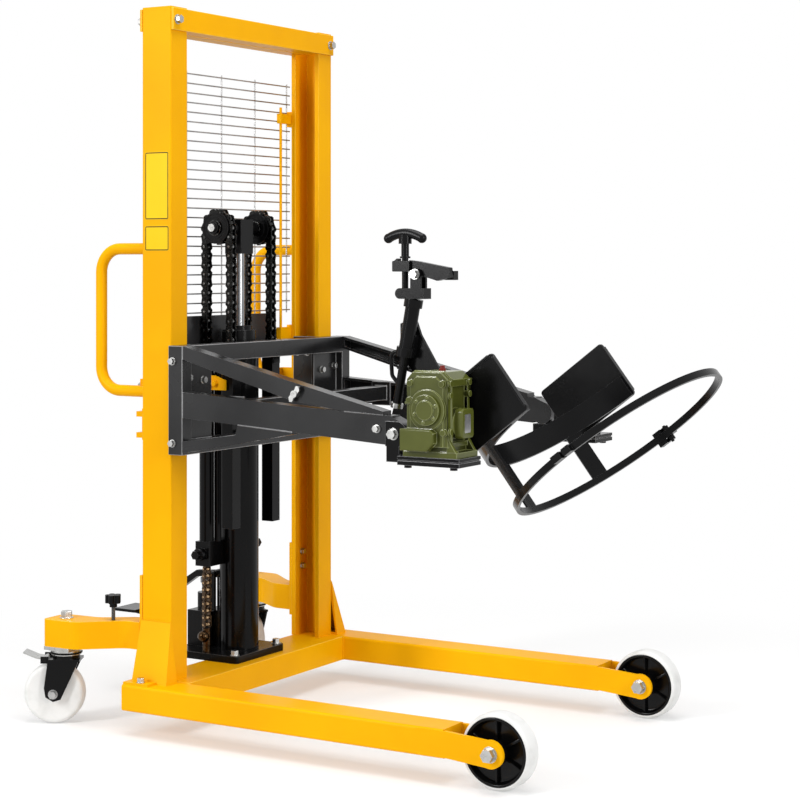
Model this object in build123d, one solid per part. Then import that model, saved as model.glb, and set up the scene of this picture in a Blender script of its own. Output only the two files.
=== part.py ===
from build123d import *
import math
import os

# Drum stacker. Millimetres, +X forward, -Y the near side, +Z up, wheels on Z = 0.
# Sizes are worked out with the middle of the mast on X = 0, and moved once, on export, to the middle of the
# length.
LENGTH_MIDDLE = 484.3

# Fits
RUN = 0.06
GAP = 0.5

# Base
LEG_OUT = 468.0
LEG_IN = 368.0
LEG_Z0 = 64.0
LEG_Z1 = 132.0
LEG_WALL = 6.0
BASE_REAR = -45.0
BEAM_FRONT = 95.0
AXLE_X = 1029.0
LOAD_R = 90.0
WHEEL_ROOM = 34.0
LEG_END = AXLE_X - LOAD_R - WHEEL_ROOM
LOAD_W = 54.0
CHEEK = 10.0
LOAD_AXLE_R = 12.0
LEG_MID = (LEG_OUT + LEG_IN) / 2

# Mast
MAST_TOP = 1880.0
POST_OUT = 381.0
POST_FLANGE = 68.0
POST_HALF = 47.5
POST_WEB = 8.0
POST_THICK = 14.0
BEAM_H = 62.0

# Lift
CYL_X = -10.0
CYL_R = 54.0
BORE_R = 40.0
ROD_R = 16.0
GLAND_TOP = 1042.0
GLAND_H = 50.0
PLATE_TOP = LEG_Z1 + 20.0
WHEEL_Z = 1310.0
WHEEL_Y = 94.0
PITCH = 25.4
TEETH = 10
PITCH_R = PITCH / (2 * math.sin(math.pi / TEETH))
ROLLER_R = 7.9
TOOTH_HALF = 5.5
FRONT_LINKS = 20
REAR_LINKS = 26
SLEEVE = 36.0
SLEEVE_IN = 29.0
SHAFT_R = 11.0

# Carriage
SLEEVE_PAD = 3.90194
CAR_X0 = CYL_X + PITCH_R + SLEEVE / 2 + SLEEVE_PAD
CAR_X1 = 98.0
CAR_Z0 = 721.0
CAR_Z1 = 1002.0
ARM_IN = 360.0
ARM_OUT = 400.0
ARM_WALL = 7.0
LUG_X = 743.0
LUG_Z = 806.0
LUG_R = 30.0

# Drum head. The head is drawn upright about the tilt shaft and leant back by TILT.
TILT = 37.5
TILT_X = 841.0
TILT_Z = 869.0
OUT_SHAFT_R = 17.5
STUB_R = 20.0
WING_IN = 300.0
WING_T = 8.0
HUB_T = 8.5
DRUM_U = 174.0
HOOP_W = -257.0
HOOP_R = 292.0
BOX_IN = 318.0
BOX_OUT = 430.0
BOX_X0 = 783.0
BOX_X1 = 895.0
BOX_TOP = 958.0
PLATFORM_T = 21.0
FOOT_T = 14.0

# Rear arms and casters
ARM_Z0 = 204.0
ARM_Z1 = 276.0
SWIVEL_X = -265.0
SWIVEL_Y = -425.0
CASTER_R = 80.0
CASTER_W = 44.0
TRAIL = 30.0
CASTER_TURN = 30.0
CASTER_AXLE_R = 6.0


def box(x0, x1, y0, y1, z0, z1):
    return Pos((x0 + x1) / 2, (y0 + y1) / 2, (z0 + z1) / 2) * Box(x1 - x0, y1 - y0, z1 - z0)


def along_x(y, z, r, x0, x1):
    return Pos((x0 + x1) / 2, y, z) * Rot(0, 90, 0) * Cylinder(r, x1 - x0)


def along_y(x, z, r, y0, y1):
    return Pos(x, (y0 + y1) / 2, z) * Rot(90, 0, 0) * Cylinder(r, y1 - y0)


def along_z(x, y, r, z0, z1):
    return Pos(x, y, (z0 + z1) / 2) * Cylinder(r, z1 - z0)


def side_plate(points, y0, y1):
    plane = Plane(origin=(0, y1, 0), x_dir=(1, 0, 0), z_dir=(0, -1, 0))
    return extrude(plane * make_face(Polyline(*points, close=True)), y1 - y0)


def front_plate(points, x0, x1):
    plane = Plane(origin=(x0, 0, 0), x_dir=(0, 1, 0), z_dir=(1, 0, 0))
    return extrude(plane * make_face(Polyline(*points, close=True)), x1 - x0)


def flat_plate(points, z0, z1):
    return extrude(Plane.XY.offset(z0) * make_face(Polyline(*points, close=True)), z1 - z0)


def hex_head(across, height):
    prism = extrude(RegularPolygon(across / 2, 6, major_radius=False), height)
    return prism + Pos(0, 0, -1) * Cylinder(across * 0.68, 2)


def bolt_y(x, y, z, across, side):
    return Pos(x, y + side * 2, z) * Rot(-90 * side, 0, 0) * hex_head(across, across * 0.6)


def bolt_x(x, y, z, across, side):
    return Pos(x + side * 2, y, z) * Rot(0, 90 * side, 0) * hex_head(across, across * 0.6)


def bolt_z(x, y, z, across):
    return Pos(x, y, z + 2) * hex_head(across, across * 0.6)


def far(shape):
    return mirror(shape, about=Plane.XZ)


def both(shape):
    return [shape, far(shape)]


def group(*shapes):
    flat = []
    for shape in shapes:
        flat.extend(shape if isinstance(shape, list) else [shape])
    return Compound(children=[solid for shape in flat for solid in shape.solids()])


def head(shape):
    return Pos(TILT_X, 0, TILT_Z) * Rot(0, -TILT, 0) * shape


os.makedirs("parts", exist_ok=True)


def save(name, shape):
    export_step(Pos(-LENGTH_MIDDLE, 0, 0) * shape, f"parts/{name}.step")


# Base cross beam: a rectangular tube between the legs.
beam = box(BASE_REAR, BEAM_FRONT, -LEG_IN, LEG_IN, LEG_Z0, LEG_Z1)
beam -= box(BASE_REAR + 6, BEAM_FRONT - 6, -LEG_IN, LEG_IN, LEG_Z0 + 6, LEG_Z1 - 6)
save("base_cross_beam", beam)

# Straddle legs: rectangular tubes, closed at the rear, with two cheeks that hold the load wheel.
leg = box(BASE_REAR, LEG_END, -LEG_OUT, -LEG_IN, LEG_Z0, LEG_Z1)
leg = fillet(leg.edges().filter_by(Axis.X), 7)
inner = (-LEG_OUT + LEG_WALL, -LEG_IN - LEG_WALL, LEG_Z0 + LEG_WALL, LEG_Z1 - LEG_WALL)
leg -= box(BASE_REAR + 5, LEG_END, *inner)
CHEEK_R = 33.0
cheek_outline = [
    (LEG_END - 70, LEG_Z1 - 3),
    (LEG_END + 10, LEG_Z1 - 3),
    (AXLE_X - 10, LOAD_R + CHEEK_R * 0.95),
    (AXLE_X, LOAD_R),
    (AXLE_X - 10, LOAD_R - CHEEK_R * 0.95),
    (LEG_END + 10, LEG_Z0 + 3),
    (LEG_END - 70, LEG_Z0 + 3),
]


def cheek(y0, y1):
    plate = side_plate(cheek_outline, y0, y1) + along_y(AXLE_X, LOAD_R, CHEEK_R, y0, y1)
    return plate - along_y(AXLE_X, LOAD_R, LOAD_AXLE_R + 0.2, y0 - 1, y1 + 1)


leg += cheek(-LEG_OUT, -LEG_OUT + CHEEK)
leg += cheek(-LEG_IN - CHEEK, -LEG_IN)
leg += box(LEG_END - 8, LEG_END, *inner)
save("leg_near", leg)
save("leg_far", far(leg))

# Load wheels: a ribbed hub with a nylon tread ring, on a fixed axle bolt through the cheeks.
TREAD_IN = 66.0
hub_half = (LEG_OUT - LEG_IN) / 2 - CHEEK - 2
hub = along_y(AXLE_X, LOAD_R, TREAD_IN, -LEG_MID - 20, -LEG_MID + 20)
for side in (-1, 1):
    y_in = -LEG_MID + side * 9
    y_out = -LEG_MID + side * 26
    ring = along_y(AXLE_X, LOAD_R, 57, min(y_in, y_out), max(y_in, y_out))
    ring -= along_y(AXLE_X, LOAD_R, 24, min(y_in, y_out), max(y_in, y_out))
    hub -= ring
    for k in range(4):
        hub += Pos(AXLE_X, -LEG_MID + side * 14, LOAD_R) * Rot(0, k * 45, 0) * Box(118, 10, 5)
hub += along_y(AXLE_X, LOAD_R, 24, -LEG_MID - hub_half, -LEG_MID + hub_half)
hub -= along_y(AXLE_X, LOAD_R, LOAD_AXLE_R + RUN, -LEG_OUT, -LEG_IN)
tread = along_y(AXLE_X, LOAD_R, LOAD_R, -LEG_MID - LOAD_W / 2, -LEG_MID + LOAD_W / 2)
tread = fillet(tread.edges().filter_by(GeomType.CIRCLE), 9)
tread -= along_y(AXLE_X, LOAD_R, TREAD_IN, -LEG_OUT, -LEG_IN)
save("load_hub_near", hub)
save("load_hub_far", far(hub))
save("load_tread_near", tread)
save("load_tread_far", far(tread))

axle = along_y(AXLE_X, LOAD_R, LOAD_AXLE_R, -LEG_OUT - 4, -LEG_IN + 4)
axle += bolt_y(AXLE_X, -LEG_OUT, LOAD_R, 28, -1)
axle += bolt_y(AXLE_X, -LEG_IN, LOAD_R, 28, 1)

# Mast posts: C channels that face each other and guide the carriage.
post = box(-POST_HALF, POST_HALF, -POST_OUT, -POST_OUT + POST_FLANGE, LEG_Z1, MAST_TOP)
post -= box(
    -POST_HALF + POST_THICK,
    POST_HALF - POST_THICK,
    -POST_OUT + POST_WEB,
    -POST_OUT + POST_FLANGE,
    LEG_Z1 - 1,
    MAST_TOP + 1,
)
post = fillet(post.edges().filter_by(Axis.Z).group_by(Axis.Y)[0], 5)
EAR = 30.0
for ear_z in (764, 819):
    post += box(-POST_HALF - EAR, -POST_HALF, -POST_OUT + 14, -POST_OUT + 34, ear_z - 7, ear_z + 7)
post += box(-POST_HALF - 8, -POST_HALF, -POST_OUT + 10, -POST_OUT + 38, 752, 834)
save("post_near", post)
save("post_far", far(post))

# Post feet: a folded shoe that flares out from the web to the leg, on a thin bolted foot plate.
FOOT_TOP = 285.0
FOOT_OUT = 427.0
FOOT_REAR = -45.0
FOOT_FRONT = 67.0
FOOT_PLATE = 6.0
FOOT_WALL = 6.0


def shoe(wall, lip, z0, z1):
    low = box(FOOT_REAR + wall, FOOT_FRONT - wall, -FOOT_OUT + wall, -POST_OUT, z0, z0 + 1)
    high = box(-POST_HALF + wall, POST_HALF - wall, -POST_OUT - lip, -POST_OUT, z1 - 1, z1)
    return loft([low.faces().sort_by(Axis.Z)[0], high.faces().sort_by(Axis.Z)[-1]], ruled=True)


foot_plate = box(FOOT_REAR, 34, -LEG_OUT + 6, -POST_OUT, LEG_Z1, LEG_Z1 + FOOT_PLATE)
foot = shoe(0, 2, LEG_Z1, FOOT_TOP) - shoe(FOOT_WALL, 2, LEG_Z1 + FOOT_PLATE, FOOT_TOP - 24) + foot_plate
save("post_feet", group(both(foot)))

# Top beam: a front and a rear channel bolted across the posts.
front_channel = box(POST_HALF, POST_HALF + 7, -POST_OUT, POST_OUT, MAST_TOP - BEAM_H, MAST_TOP - 4)
front_channel += box(
    -POST_HALF + 52,
    POST_HALF,
    -POST_OUT + POST_FLANGE,
    POST_OUT - POST_FLANGE,
    MAST_TOP - BEAM_H,
    MAST_TOP - BEAM_H + 7,
)
rear_channel = mirror(front_channel, about=Plane.YZ)
save("top_beam", group(front_channel, rear_channel))

# Push handles: bent tube behind each post.
HANDLE_R = 15.0
HANDLE_Y = -POST_OUT + 26
path = FilletPolyline(
    (-POST_HALF, HANDLE_Y, 1252),
    (-204, HANDLE_Y, 1252),
    (-204, HANDLE_Y, 878),
    (-POST_HALF, HANDLE_Y, 878),
    radius=62,
)
handle = sweep(Plane(origin=path @ 0, z_dir=path % 0) * Circle(HANDLE_R), path=path)
save("push_handles", group(both(handle)))

# Wire guard behind the mast.
GUARD_X = -66.0
GUARD_Y = 330.0
GUARD_Z0 = 1078.0
GUARD_Z1 = MAST_TOP - 152
WIRES = 26
WIRE_R = 2.0
GUARD_ROD_R = 4.0
GUARD_HIGH = GUARD_Z1 - 96
GUARD_LOW = 1010.0
GUARD_ROD_Y = 270.0
guard = []
step = (GUARD_Z1 - GUARD_Z0) / (WIRES - 1)
for k in range(WIRES):
    z = GUARD_Z0 + k * step
    guard.append(Pos(GUARD_X, 0, z) * Rot(90, 0, 0) * Cylinder(WIRE_R, 2 * GUARD_Y))
for k in range(5):
    y = -GUARD_Y + 10 + k * (2 * GUARD_Y - 20) / 4
    guard.append(along_z(GUARD_X - 2 * WIRE_R, y, WIRE_R, GUARD_Z0 - 8, GUARD_Z1 + 8))
for side in (-1, 1):
    rod_x, rod_y = GUARD_X + WIRE_R + 8, side * GUARD_ROD_Y
    guard.append(along_z(rod_x, rod_y, GUARD_ROD_R, GUARD_LOW - 28, GUARD_HIGH + 32))
save("wire_guard", group(guard))

# Guard panel: a black sheet that closes the space under the wires.
panel = box(GUARD_X - 5, GUARD_X - 2, -264, 264, GUARD_LOW - 26, GUARD_Z0 - 8)
for side in (-1, 1):
    y0, y1 = sorted((side * 264.0, side * 290.0))
    panel += box(GUARD_X - 5, GUARD_X + WIRE_R, y0, y1, GUARD_LOW - 14, GUARD_LOW + 14)
save("guard_panel", panel)

# Brackets on the mast: guard brackets, and the tie that steadies the lift cylinder with a fork and the chain
# sleeves with a bolted strap on each side.
TIE_Z = 890.0
STRAP_Y = WHEEL_Y + SLEEVE / 2 + 2.8
STRAP_T = 7.2
GUARD_FACE = GUARD_X + WIRE_R
ROD_X = GUARD_FACE + 8
bracket_in = -POST_OUT + POST_FLANGE
bracket = box(GUARD_FACE, -POST_HALF, -POST_OUT + 38, bracket_in, GUARD_HIGH - 22, GUARD_HIGH + 22)
bracket += box(GUARD_FACE, GUARD_FACE + 15, bracket_in, -GUARD_ROD_Y + 8, GUARD_HIGH - 14, GUARD_HIGH + 14)
low_bracket = box(GUARD_FACE, -POST_HALF, -POST_OUT + 38, bracket_in, GUARD_LOW - 24, GUARD_LOW + 24)
low_bracket += box(GUARD_FACE, GUARD_FACE + 15, bracket_in, -GUARD_ROD_Y + 10, GUARD_LOW - 18, GUARD_LOW + 18)
rod_hole = along_z(ROD_X, -GUARD_ROD_Y, GUARD_ROD_R, GUARD_LOW - 30, GUARD_HIGH + 60)
brackets = both(bracket - rod_hole) + both(low_bracket - rod_hole)
TIE_END = POST_OUT - POST_FLANGE + 22
tie = box(-90, -82, -TIE_END, TIE_END, TIE_Z - 19, TIE_Z + 19)
for side in (-1, 1):
    y0, y1 = sorted((side * TIE_END, side * (TIE_END - 21)))
    tie += box(-82, -POST_HALF, y0, y1, TIE_Z - 19, TIE_Z + 19)
    y0, y1 = sorted((side * (CYL_R + GAP), side * (CYL_R + 8)))
    tie += box(-82, 8, y0, y1, TIE_Z - 17, TIE_Z + 17)
    y0, y1 = sorted((side * STRAP_Y, side * (STRAP_Y + STRAP_T)))
    tie_outline = [(-86, TIE_Z - 19), (-86, TIE_Z + 19), (-6, TIE_Z + 19), (30, TIE_Z + 7), (30, TIE_Z - 20)]
    tie += side_plate(tie_outline, y0, y1)
    for x, z in ((-21, TIE_Z - 8), (-2, TIE_Z - 2)):
        tie += bolt_y(x, side * (STRAP_Y + STRAP_T), z, 13, side)
save("mast_brackets", group(brackets, tie))

# Rear arms: box arms that sweep outward to the casters, bolted to the posts through a bracket plate.
SPREAD = 45.0
ARM_BEND = 55.0
arm_plan = make_face(
    Polyline(
        (-POST_HALF, -POST_OUT + 2),
        (-104, -POST_OUT + 1),
        (SWIVEL_X + 60, SWIVEL_Y - SPREAD + 4),
        (SWIVEL_X - SPREAD, SWIVEL_Y - SPREAD),
        (SWIVEL_X - SPREAD, SWIVEL_Y + SPREAD),
        (SWIVEL_X + 70, SWIVEL_Y + SPREAD + 6),
        (-112, -POST_OUT + 64),
        (-POST_HALF, -POST_OUT + 66),
        close=True,
    )
)
arm_ends = arm_plan.vertices().group_by(Axis.X)[0]
arm_plan = fillet(arm_ends, 14)
arm_bends = [v for v in arm_plan.vertices() if SWIVEL_X + 50 < v.X < -POST_HALF - 40]
arm_plan = fillet(arm_bends, ARM_BEND)
rear_arm = Pos(0, 0, ARM_Z0) * extrude(arm_plan, ARM_Z1 - ARM_Z0)
rear_arm += box(-POST_HALF - 8, -POST_HALF, -POST_OUT, -POST_OUT + POST_FLANGE, 190, 400)
rear_arm -= along_z(SWIVEL_X, SWIVEL_Y, 12.2, ARM_Z0 - 1, ARM_Z1 + 1)
KNOB_X = -137.0
KNOB_Y = -388.0
rear_arm_near = rear_arm - along_z(KNOB_X, KNOB_Y, 5 + RUN, ARM_Z1 - 30, ARM_Z1 + 1)
save("rear_arm_near", rear_arm_near)
save("rear_arm_far", far(rear_arm))

# Arm knob: star knob on a plain stem in the near arm.
KNOB_H = 22.0
knob = along_z(KNOB_X, KNOB_Y, 5, ARM_Z1 - 28, ARM_Z1 + 46)
lobes = Cylinder(14, KNOB_H)
for k in range(5):
    lobes += Rot(0, 0, 72 * k) * Pos(14, 0, 0) * Cylinder(7.5, KNOB_H)
lobes += Pos(0, 0, -KNOB_H / 2 - 5) * Cylinder(10, 11)
knob += Pos(KNOB_X, KNOB_Y, ARM_Z1 + 56) * lobes
save("arm_knob", knob)

# Casters: king bolt, plate and upper race on the arm; fork and lower race below; wheel and brake pedal.
SWIVEL = Pos(SWIVEL_X, SWIVEL_Y, 0) * Rot(0, 0, CASTER_TURN)
RACE_Z = 181.0
top = Pos(SWIVEL_X, SWIVEL_Y, ARM_Z0 - 5) * Box(84, 84, 10)
top += along_z(SWIVEL_X, SWIVEL_Y, 40, RACE_Z + GAP, ARM_Z0 - 10)
top += along_z(SWIVEL_X, SWIVEL_Y, 12, ARM_Z0 - 10, ARM_Z1 + 2)
top += bolt_z(SWIVEL_X, SWIVEL_Y, ARM_Z1, 27)
save("caster_tops", group(both(top)))

PEDAL_X = -54.0
PEDAL_Z = RACE_Z - 11
PEDAL_PIN_R = 4.0
fork = Pos(0, 0, RACE_Z - 5) * Cylinder(36, 10)
fork += box(-46, 40, -33, 33, RACE_Z - 16, RACE_Z - 10)
fork_side = [(-44, RACE_Z - 12), (38, RACE_Z - 12), (-10, 66), (-TRAIL, 60), (-50, 72), (-54, 96)]
for side in (-1, 1):
    y0, y1 = sorted((side * 28.0, side * 33.0))
    fork += side_plate(fork_side, y0, y1)
    fork += bolt_y(-TRAIL, side * 33.0, CASTER_R, 19, side)
    fork += box(PEDAL_X - 9, PEDAL_X + 12, y0, y1, PEDAL_Z - 9, PEDAL_Z + 9)
fork += along_y(PEDAL_X, PEDAL_Z, PEDAL_PIN_R, -34, 34)
fork += along_y(-TRAIL, CASTER_R, CASTER_AXLE_R, -34, 34)
save("caster_fork_near", SWIVEL * fork)
save("caster_fork_far", far(SWIVEL * fork))

wheel = along_y(-TRAIL, CASTER_R, CASTER_R, -CASTER_W / 2, CASTER_W / 2)
wheel = fillet(wheel.edges().filter_by(GeomType.CIRCLE), 7)
for side in (-1, 1):
    y0, y1 = sorted((side * 16.0, side * 24.0))
    dish = along_y(-TRAIL, CASTER_R, 60, y0, y1) - along_y(-TRAIL, CASTER_R, 22, y0, y1)
    wheel -= dish
wheel += along_y(-TRAIL, CASTER_R, 18, -26.5, 26.5)
wheel -= along_y(-TRAIL, CASTER_R, CASTER_AXLE_R + RUN, -30, 30)
save("caster_wheel_near", SWIVEL * wheel)
save("caster_wheel_far", far(SWIVEL * wheel))

pedal_side = [
    (PEDAL_X + 5, PEDAL_Z - 2),
    (PEDAL_X + 5, PEDAL_Z + 2),
    (PEDAL_X - 22, PEDAL_Z + 6),
    (PEDAL_X - 56, PEDAL_Z + 20),
    (PEDAL_X - 57, PEDAL_Z + 16),
    (PEDAL_X - 22, PEDAL_Z + 2),
]
pedal = side_plate(pedal_side, -24, 24) + along_y(PEDAL_X, PEDAL_Z, 7, -27, 27)
pedal -= along_y(PEDAL_X, PEDAL_Z, PEDAL_PIN_R + RUN, -30, 30)
save("caster_brake_near", SWIVEL * pedal)
save("caster_brake_far", far(SWIVEL * pedal))

# Lift cylinder on its base flange, with the gland at its mouth.
base_flange = box(-162, 64, -115, 115, LEG_Z1, PLATE_TOP)
save("base_flange", fillet(base_flange.edges().filter_by(Axis.Z), 12))

GLAND_Z0 = GLAND_TOP - GLAND_H
barrel = along_z(CYL_X, 0, CYL_R, PLATE_TOP, GLAND_Z0)
barrel -= along_z(CYL_X, 0, BORE_R, PLATE_TOP + 25, GLAND_Z0 + 1)
save("lift_cylinder", barrel)

gland = along_z(CYL_X, 0, 46, GLAND_Z0, GLAND_TOP - 12)
gland += box(CYL_X - 16, CYL_X + 16, -58, -30, GLAND_Z0 + 4, GLAND_TOP - 16)
gland += along_z(CYL_X, 0, 36, GLAND_TOP - 12, GLAND_TOP)
gland -= along_z(CYL_X, 0, ROD_R + RUN, GLAND_Z0 - 1, GLAND_TOP + 1)
save("cylinder_gland", gland)

YOKE_Z0 = 1240.0
YOKE_WEB = 24.0
rod = along_z(CYL_X, 0, ROD_R, 470, YOKE_Z0 + YOKE_WEB)
rod += along_z(CYL_X, 0, BORE_R - RUN, 470, 512)
save("piston_rod", rod)

# Yoke on the rod end: a block with a sleeve on each side that carries the chain wheel shaft.
HUB_IN = 68.0
PLATE_OUT = 12.0
HUB_OUT = 116.0
yoke = box(CYL_X - 28, CYL_X + 28, -30, 30, YOKE_Z0, WHEEL_Z + 24)
yoke = fillet(yoke.edges().filter_by(Axis.Z), 4)
yoke += along_y(CYL_X, WHEEL_Z, 18, -HUB_IN + GAP, HUB_IN - GAP)
yoke -= along_z(CYL_X, 0, ROD_R, YOKE_Z0 - 1, YOKE_Z0 + YOKE_WEB)
yoke += along_y(CYL_X, WHEEL_Z, SHAFT_R, -HUB_OUT - 14, HUB_OUT + 14)
for side in (-1, 1):
    y0, y1 = sorted((side * (HUB_OUT + GAP), side * (HUB_OUT + 7)))
    yoke += along_y(CYL_X, WHEEL_Z, 17, y0, y1)
save("lift_yoke", yoke)

# Chain wheels: toothed discs with a long hub.
disc = Circle(PITCH_R + 5.6)
gap_r = ROLLER_R + 0.8
for k in range(TEETH):
    notch = Pos(PITCH_R, 0) * Circle(gap_r)
    notch += make_face(
        Polyline(
            (PITCH_R, -gap_r),
            (PITCH_R, gap_r),
            (PITCH_R + 7, gap_r + 4.4),
            (PITCH_R + 7, -gap_r - 4.4),
            close=True,
        )
    )
    disc -= Rot(0, 0, 360 * k / TEETH) * notch
wheel_plane = Plane(origin=(CYL_X, -WHEEL_Y + TOOTH_HALF, WHEEL_Z), x_dir=(1, 0, 0), z_dir=(0, -1, 0))
toothed = extrude(wheel_plane * disc, 2 * TOOTH_HALF)
toothed -= along_y(CYL_X, WHEEL_Z, 29, -WHEEL_Y - TOOTH_HALF, -WHEEL_Y - TOOTH_HALF + 1.5)
toothed += along_y(CYL_X, WHEEL_Z, 27, -WHEEL_Y - PLATE_OUT, -WHEEL_Y + PLATE_OUT)
toothed += along_y(CYL_X, WHEEL_Z, 21, -HUB_OUT, -HUB_IN)
toothed -= along_y(CYL_X, WHEEL_Z, SHAFT_R + RUN, -HUB_OUT - 1, -HUB_IN + 1)
save("chain_wheel_near", toothed)
save("chain_wheel_far", far(toothed))

# Roller chains: inner and outer links in turn, with rollers where they lie in the teeth.
LINK_HALF = 11.0
PLATE_IN = 6.3
PLATE_MID = 9.2
SIDE_PLAY = 0.3


def link(x0, z0, x1, z1, t0, t1, half):
    length = math.hypot(x1 - x0, z1 - z0)
    flat = half * 0.42
    cut = half * 0.58
    outline = Polyline(
        (-half, -flat),
        (-half + cut, -half),
        (length + half - cut, -half),
        (length + half, -flat),
        (length + half, flat),
        (length + half - cut, half),
        (-half + cut, half),
        (-half, flat),
        close=True,
    )
    plane = Plane(
        origin=(x0, -WHEEL_Y + t1, z0), x_dir=((x1 - x0) / length, 0, (z1 - z0) / length), z_dir=(0, -1, 0)
    )
    return extrude(plane * make_face(outline), t1 - t0)


WRAP = TEETH // 2
pins = [(CYL_X + PITCH_R, WHEEL_Z - k * PITCH) for k in range(FRONT_LINKS, 0, -1)]
for k in range(WRAP + 1):
    a = math.pi * k / WRAP
    pins.append((CYL_X + PITCH_R * math.cos(a), WHEEL_Z + PITCH_R * math.sin(a)))
pins += [(CYL_X - PITCH_R, WHEEL_Z - k * PITCH) for k in range(1, REAR_LINKS + 1)]
chain = []
for k in range(len(pins) - 1):
    wrapped = FRONT_LINKS - 2 <= k <= FRONT_LINKS + WRAP + 1
    ends = pins[k] + pins[k + 1]
    if k % 2:
        chain.append(link(*ends, PLATE_MID + SIDE_PLAY, PLATE_OUT, LINK_HALF))
        chain.append(link(*ends, -PLATE_OUT, -PLATE_MID - SIDE_PLAY, LINK_HALF))
    elif wrapped:
        chain.append(link(*ends, PLATE_IN, PLATE_MID, LINK_HALF))
        chain.append(link(*ends, -PLATE_MID, -PLATE_IN, LINK_HALF))
    else:
        chain.append(link(*ends, -PLATE_MID, PLATE_MID, LINK_HALF))
    if wrapped:
        roller_half = PLATE_IN - SIDE_PLAY
        chain.append(along_y(pins[k][0], pins[k][1], ROLLER_R, -WHEEL_Y - roller_half, -WHEEL_Y + roller_half))
save("chain_near", group(chain))
save("chain_far", group([far(piece) for piece in chain]))

# Rear sleeves take up the standing run of each chain; a block clamps each one to the cylinder, with a return
# pipe beside it.
STRAND_REAR = CYL_X - PITCH_R
STRAND_FRONT = CYL_X + PITCH_R


def sleeve(x, z0, z1):
    tube = box(x - SLEEVE / 2, x + SLEEVE / 2, -WHEEL_Y - SLEEVE / 2, -WHEEL_Y + SLEEVE / 2, z0, z1)
    half = SLEEVE_IN / 2
    return tube - box(x - half, x + half, -WHEEL_Y - half, -WHEEL_Y + half, z0 + 6, z1 + 1)


BLOCK_Z0 = 388.0
PIPE_R = 10.0
SLEEVE_Z0 = 455.0
rear_sleeve = along_z(STRAND_REAR, -WHEEL_Y, 20, SLEEVE_Z0, 978)
rear_sleeve -= along_z(STRAND_REAR, -WHEEL_Y, 17.2, SLEEVE_Z0 + 6, 979)
block = box(STRAND_REAR - 22, STRAND_REAR + 24, -WHEEL_Y - 22, -36, BLOCK_Z0, SLEEVE_Z0)
rear_sleeve += block - along_z(CYL_X, 0, CYL_R, BLOCK_Z0 - 1, SLEEVE_Z0 + 1)
rear_sleeve += along_z(STRAND_REAR + 22, -WHEEL_Y + 21, PIPE_R, SLEEVE_Z0 - 1, 978)
BLOCK_MID = (BLOCK_Z0 + SLEEVE_Z0) / 2
rear_sleeve += along_y(STRAND_REAR, BLOCK_MID, 17, -WHEEL_Y - 40, -WHEEL_Y - 22)
rear_sleeve += bolt_y(STRAND_REAR, -WHEEL_Y - 40, BLOCK_MID, 22, -1)
save("rear_sleeves", group(both(rear_sleeve)))

# Anchor chains: the fixed ends under the clamp blocks, down to lugs on the base flange.
anchor = []
FINE_PITCH = 19.05
FINE_HALF = 9.5
FINE_LINKS = 8
FINE_IN = 8.0
FINE_OUT = 11.0
first = BLOCK_Z0 - FINE_HALF - FINE_PITCH
for k in range(FINE_LINKS):
    z = first - k * FINE_PITCH
    ends = (STRAND_REAR, z, STRAND_REAR, z + FINE_PITCH)
    if k % 2:
        anchor.append(link(*ends, FINE_IN + 0.3, FINE_OUT, FINE_HALF))
        anchor.append(link(*ends, -FINE_OUT, -FINE_IN - 0.3, FINE_HALF))
    else:
        anchor.append(link(*ends, -FINE_IN, FINE_IN, FINE_HALF))
last = first - (FINE_LINKS - 1) * FINE_PITCH - FINE_HALF
lug = along_z(STRAND_REAR, -WHEEL_Y, 12, PLATE_TOP, last)
lug += Pos(STRAND_REAR, -WHEEL_Y, PLATE_TOP + 44) * Sphere(17)
save("anchor_chains", group(both(lug), anchor, [far(piece) for piece in anchor]))

# Pump body on the base flange, with the pedal lugs, its barrel and the pedal and plunger.
PUMP_X = -125.0
PEDAL_PIVOT_X = -84.0
PEDAL_PIVOT_Z = 350.0
pump = box(-156, -78, -42, 42, PLATE_TOP, 250)
pump += along_z(PUMP_X, 0, 22, 250, 296)
for side in (-1, 1):
    y0, y1 = sorted((side * 14.0, side * 24.0))
    pump += box(PEDAL_PIVOT_X - 12, PEDAL_PIVOT_X + 6, y0, y1, 250, PEDAL_PIVOT_Z)
    pump += along_y(PEDAL_PIVOT_X - 3, PEDAL_PIVOT_Z, 9, y0, y1)
pump += along_y(PEDAL_PIVOT_X - 3, PEDAL_PIVOT_Z, 5, -28, 28)
pump -= along_z(PUMP_X, 0, 10 + RUN, 262, 297)
save("pump_body", pump)

PIVOT_X = PEDAL_PIVOT_X - 3
PAD_FRONT = -338.0
PAD_Z = 224.0
pedal_lever = side_plate(
    [
        (PIVOT_X, 342),
        (PIVOT_X, 360),
        (-150, 356),
        (-300, 262),
        (PAD_FRONT, PAD_Z + 8),
        (PAD_FRONT, PAD_Z),
        (-400, PAD_Z),
        (-400, PAD_Z - 5),
        (PAD_FRONT, PAD_Z - 12),
        (-296, 238),
        (-148, 338),
    ],
    -9,
    9,
)
pedal_lever += along_y(PIVOT_X, PEDAL_PIVOT_Z, 11, -13, 13)
pedal_lever -= along_y(PIVOT_X, PEDAL_PIVOT_Z, 5 + RUN, -14, 14)
pedal_lever += box(-412, PAD_FRONT, -48, 48, PAD_Z, PAD_Z + 8)
save("pump_pedal", pedal_lever)

plunger = along_z(PUMP_X, 0, 10, 280, 336)
plunger += along_z(PUMP_X, 0, 14, 322, 336)
save("pump_plunger", plunger)

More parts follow.
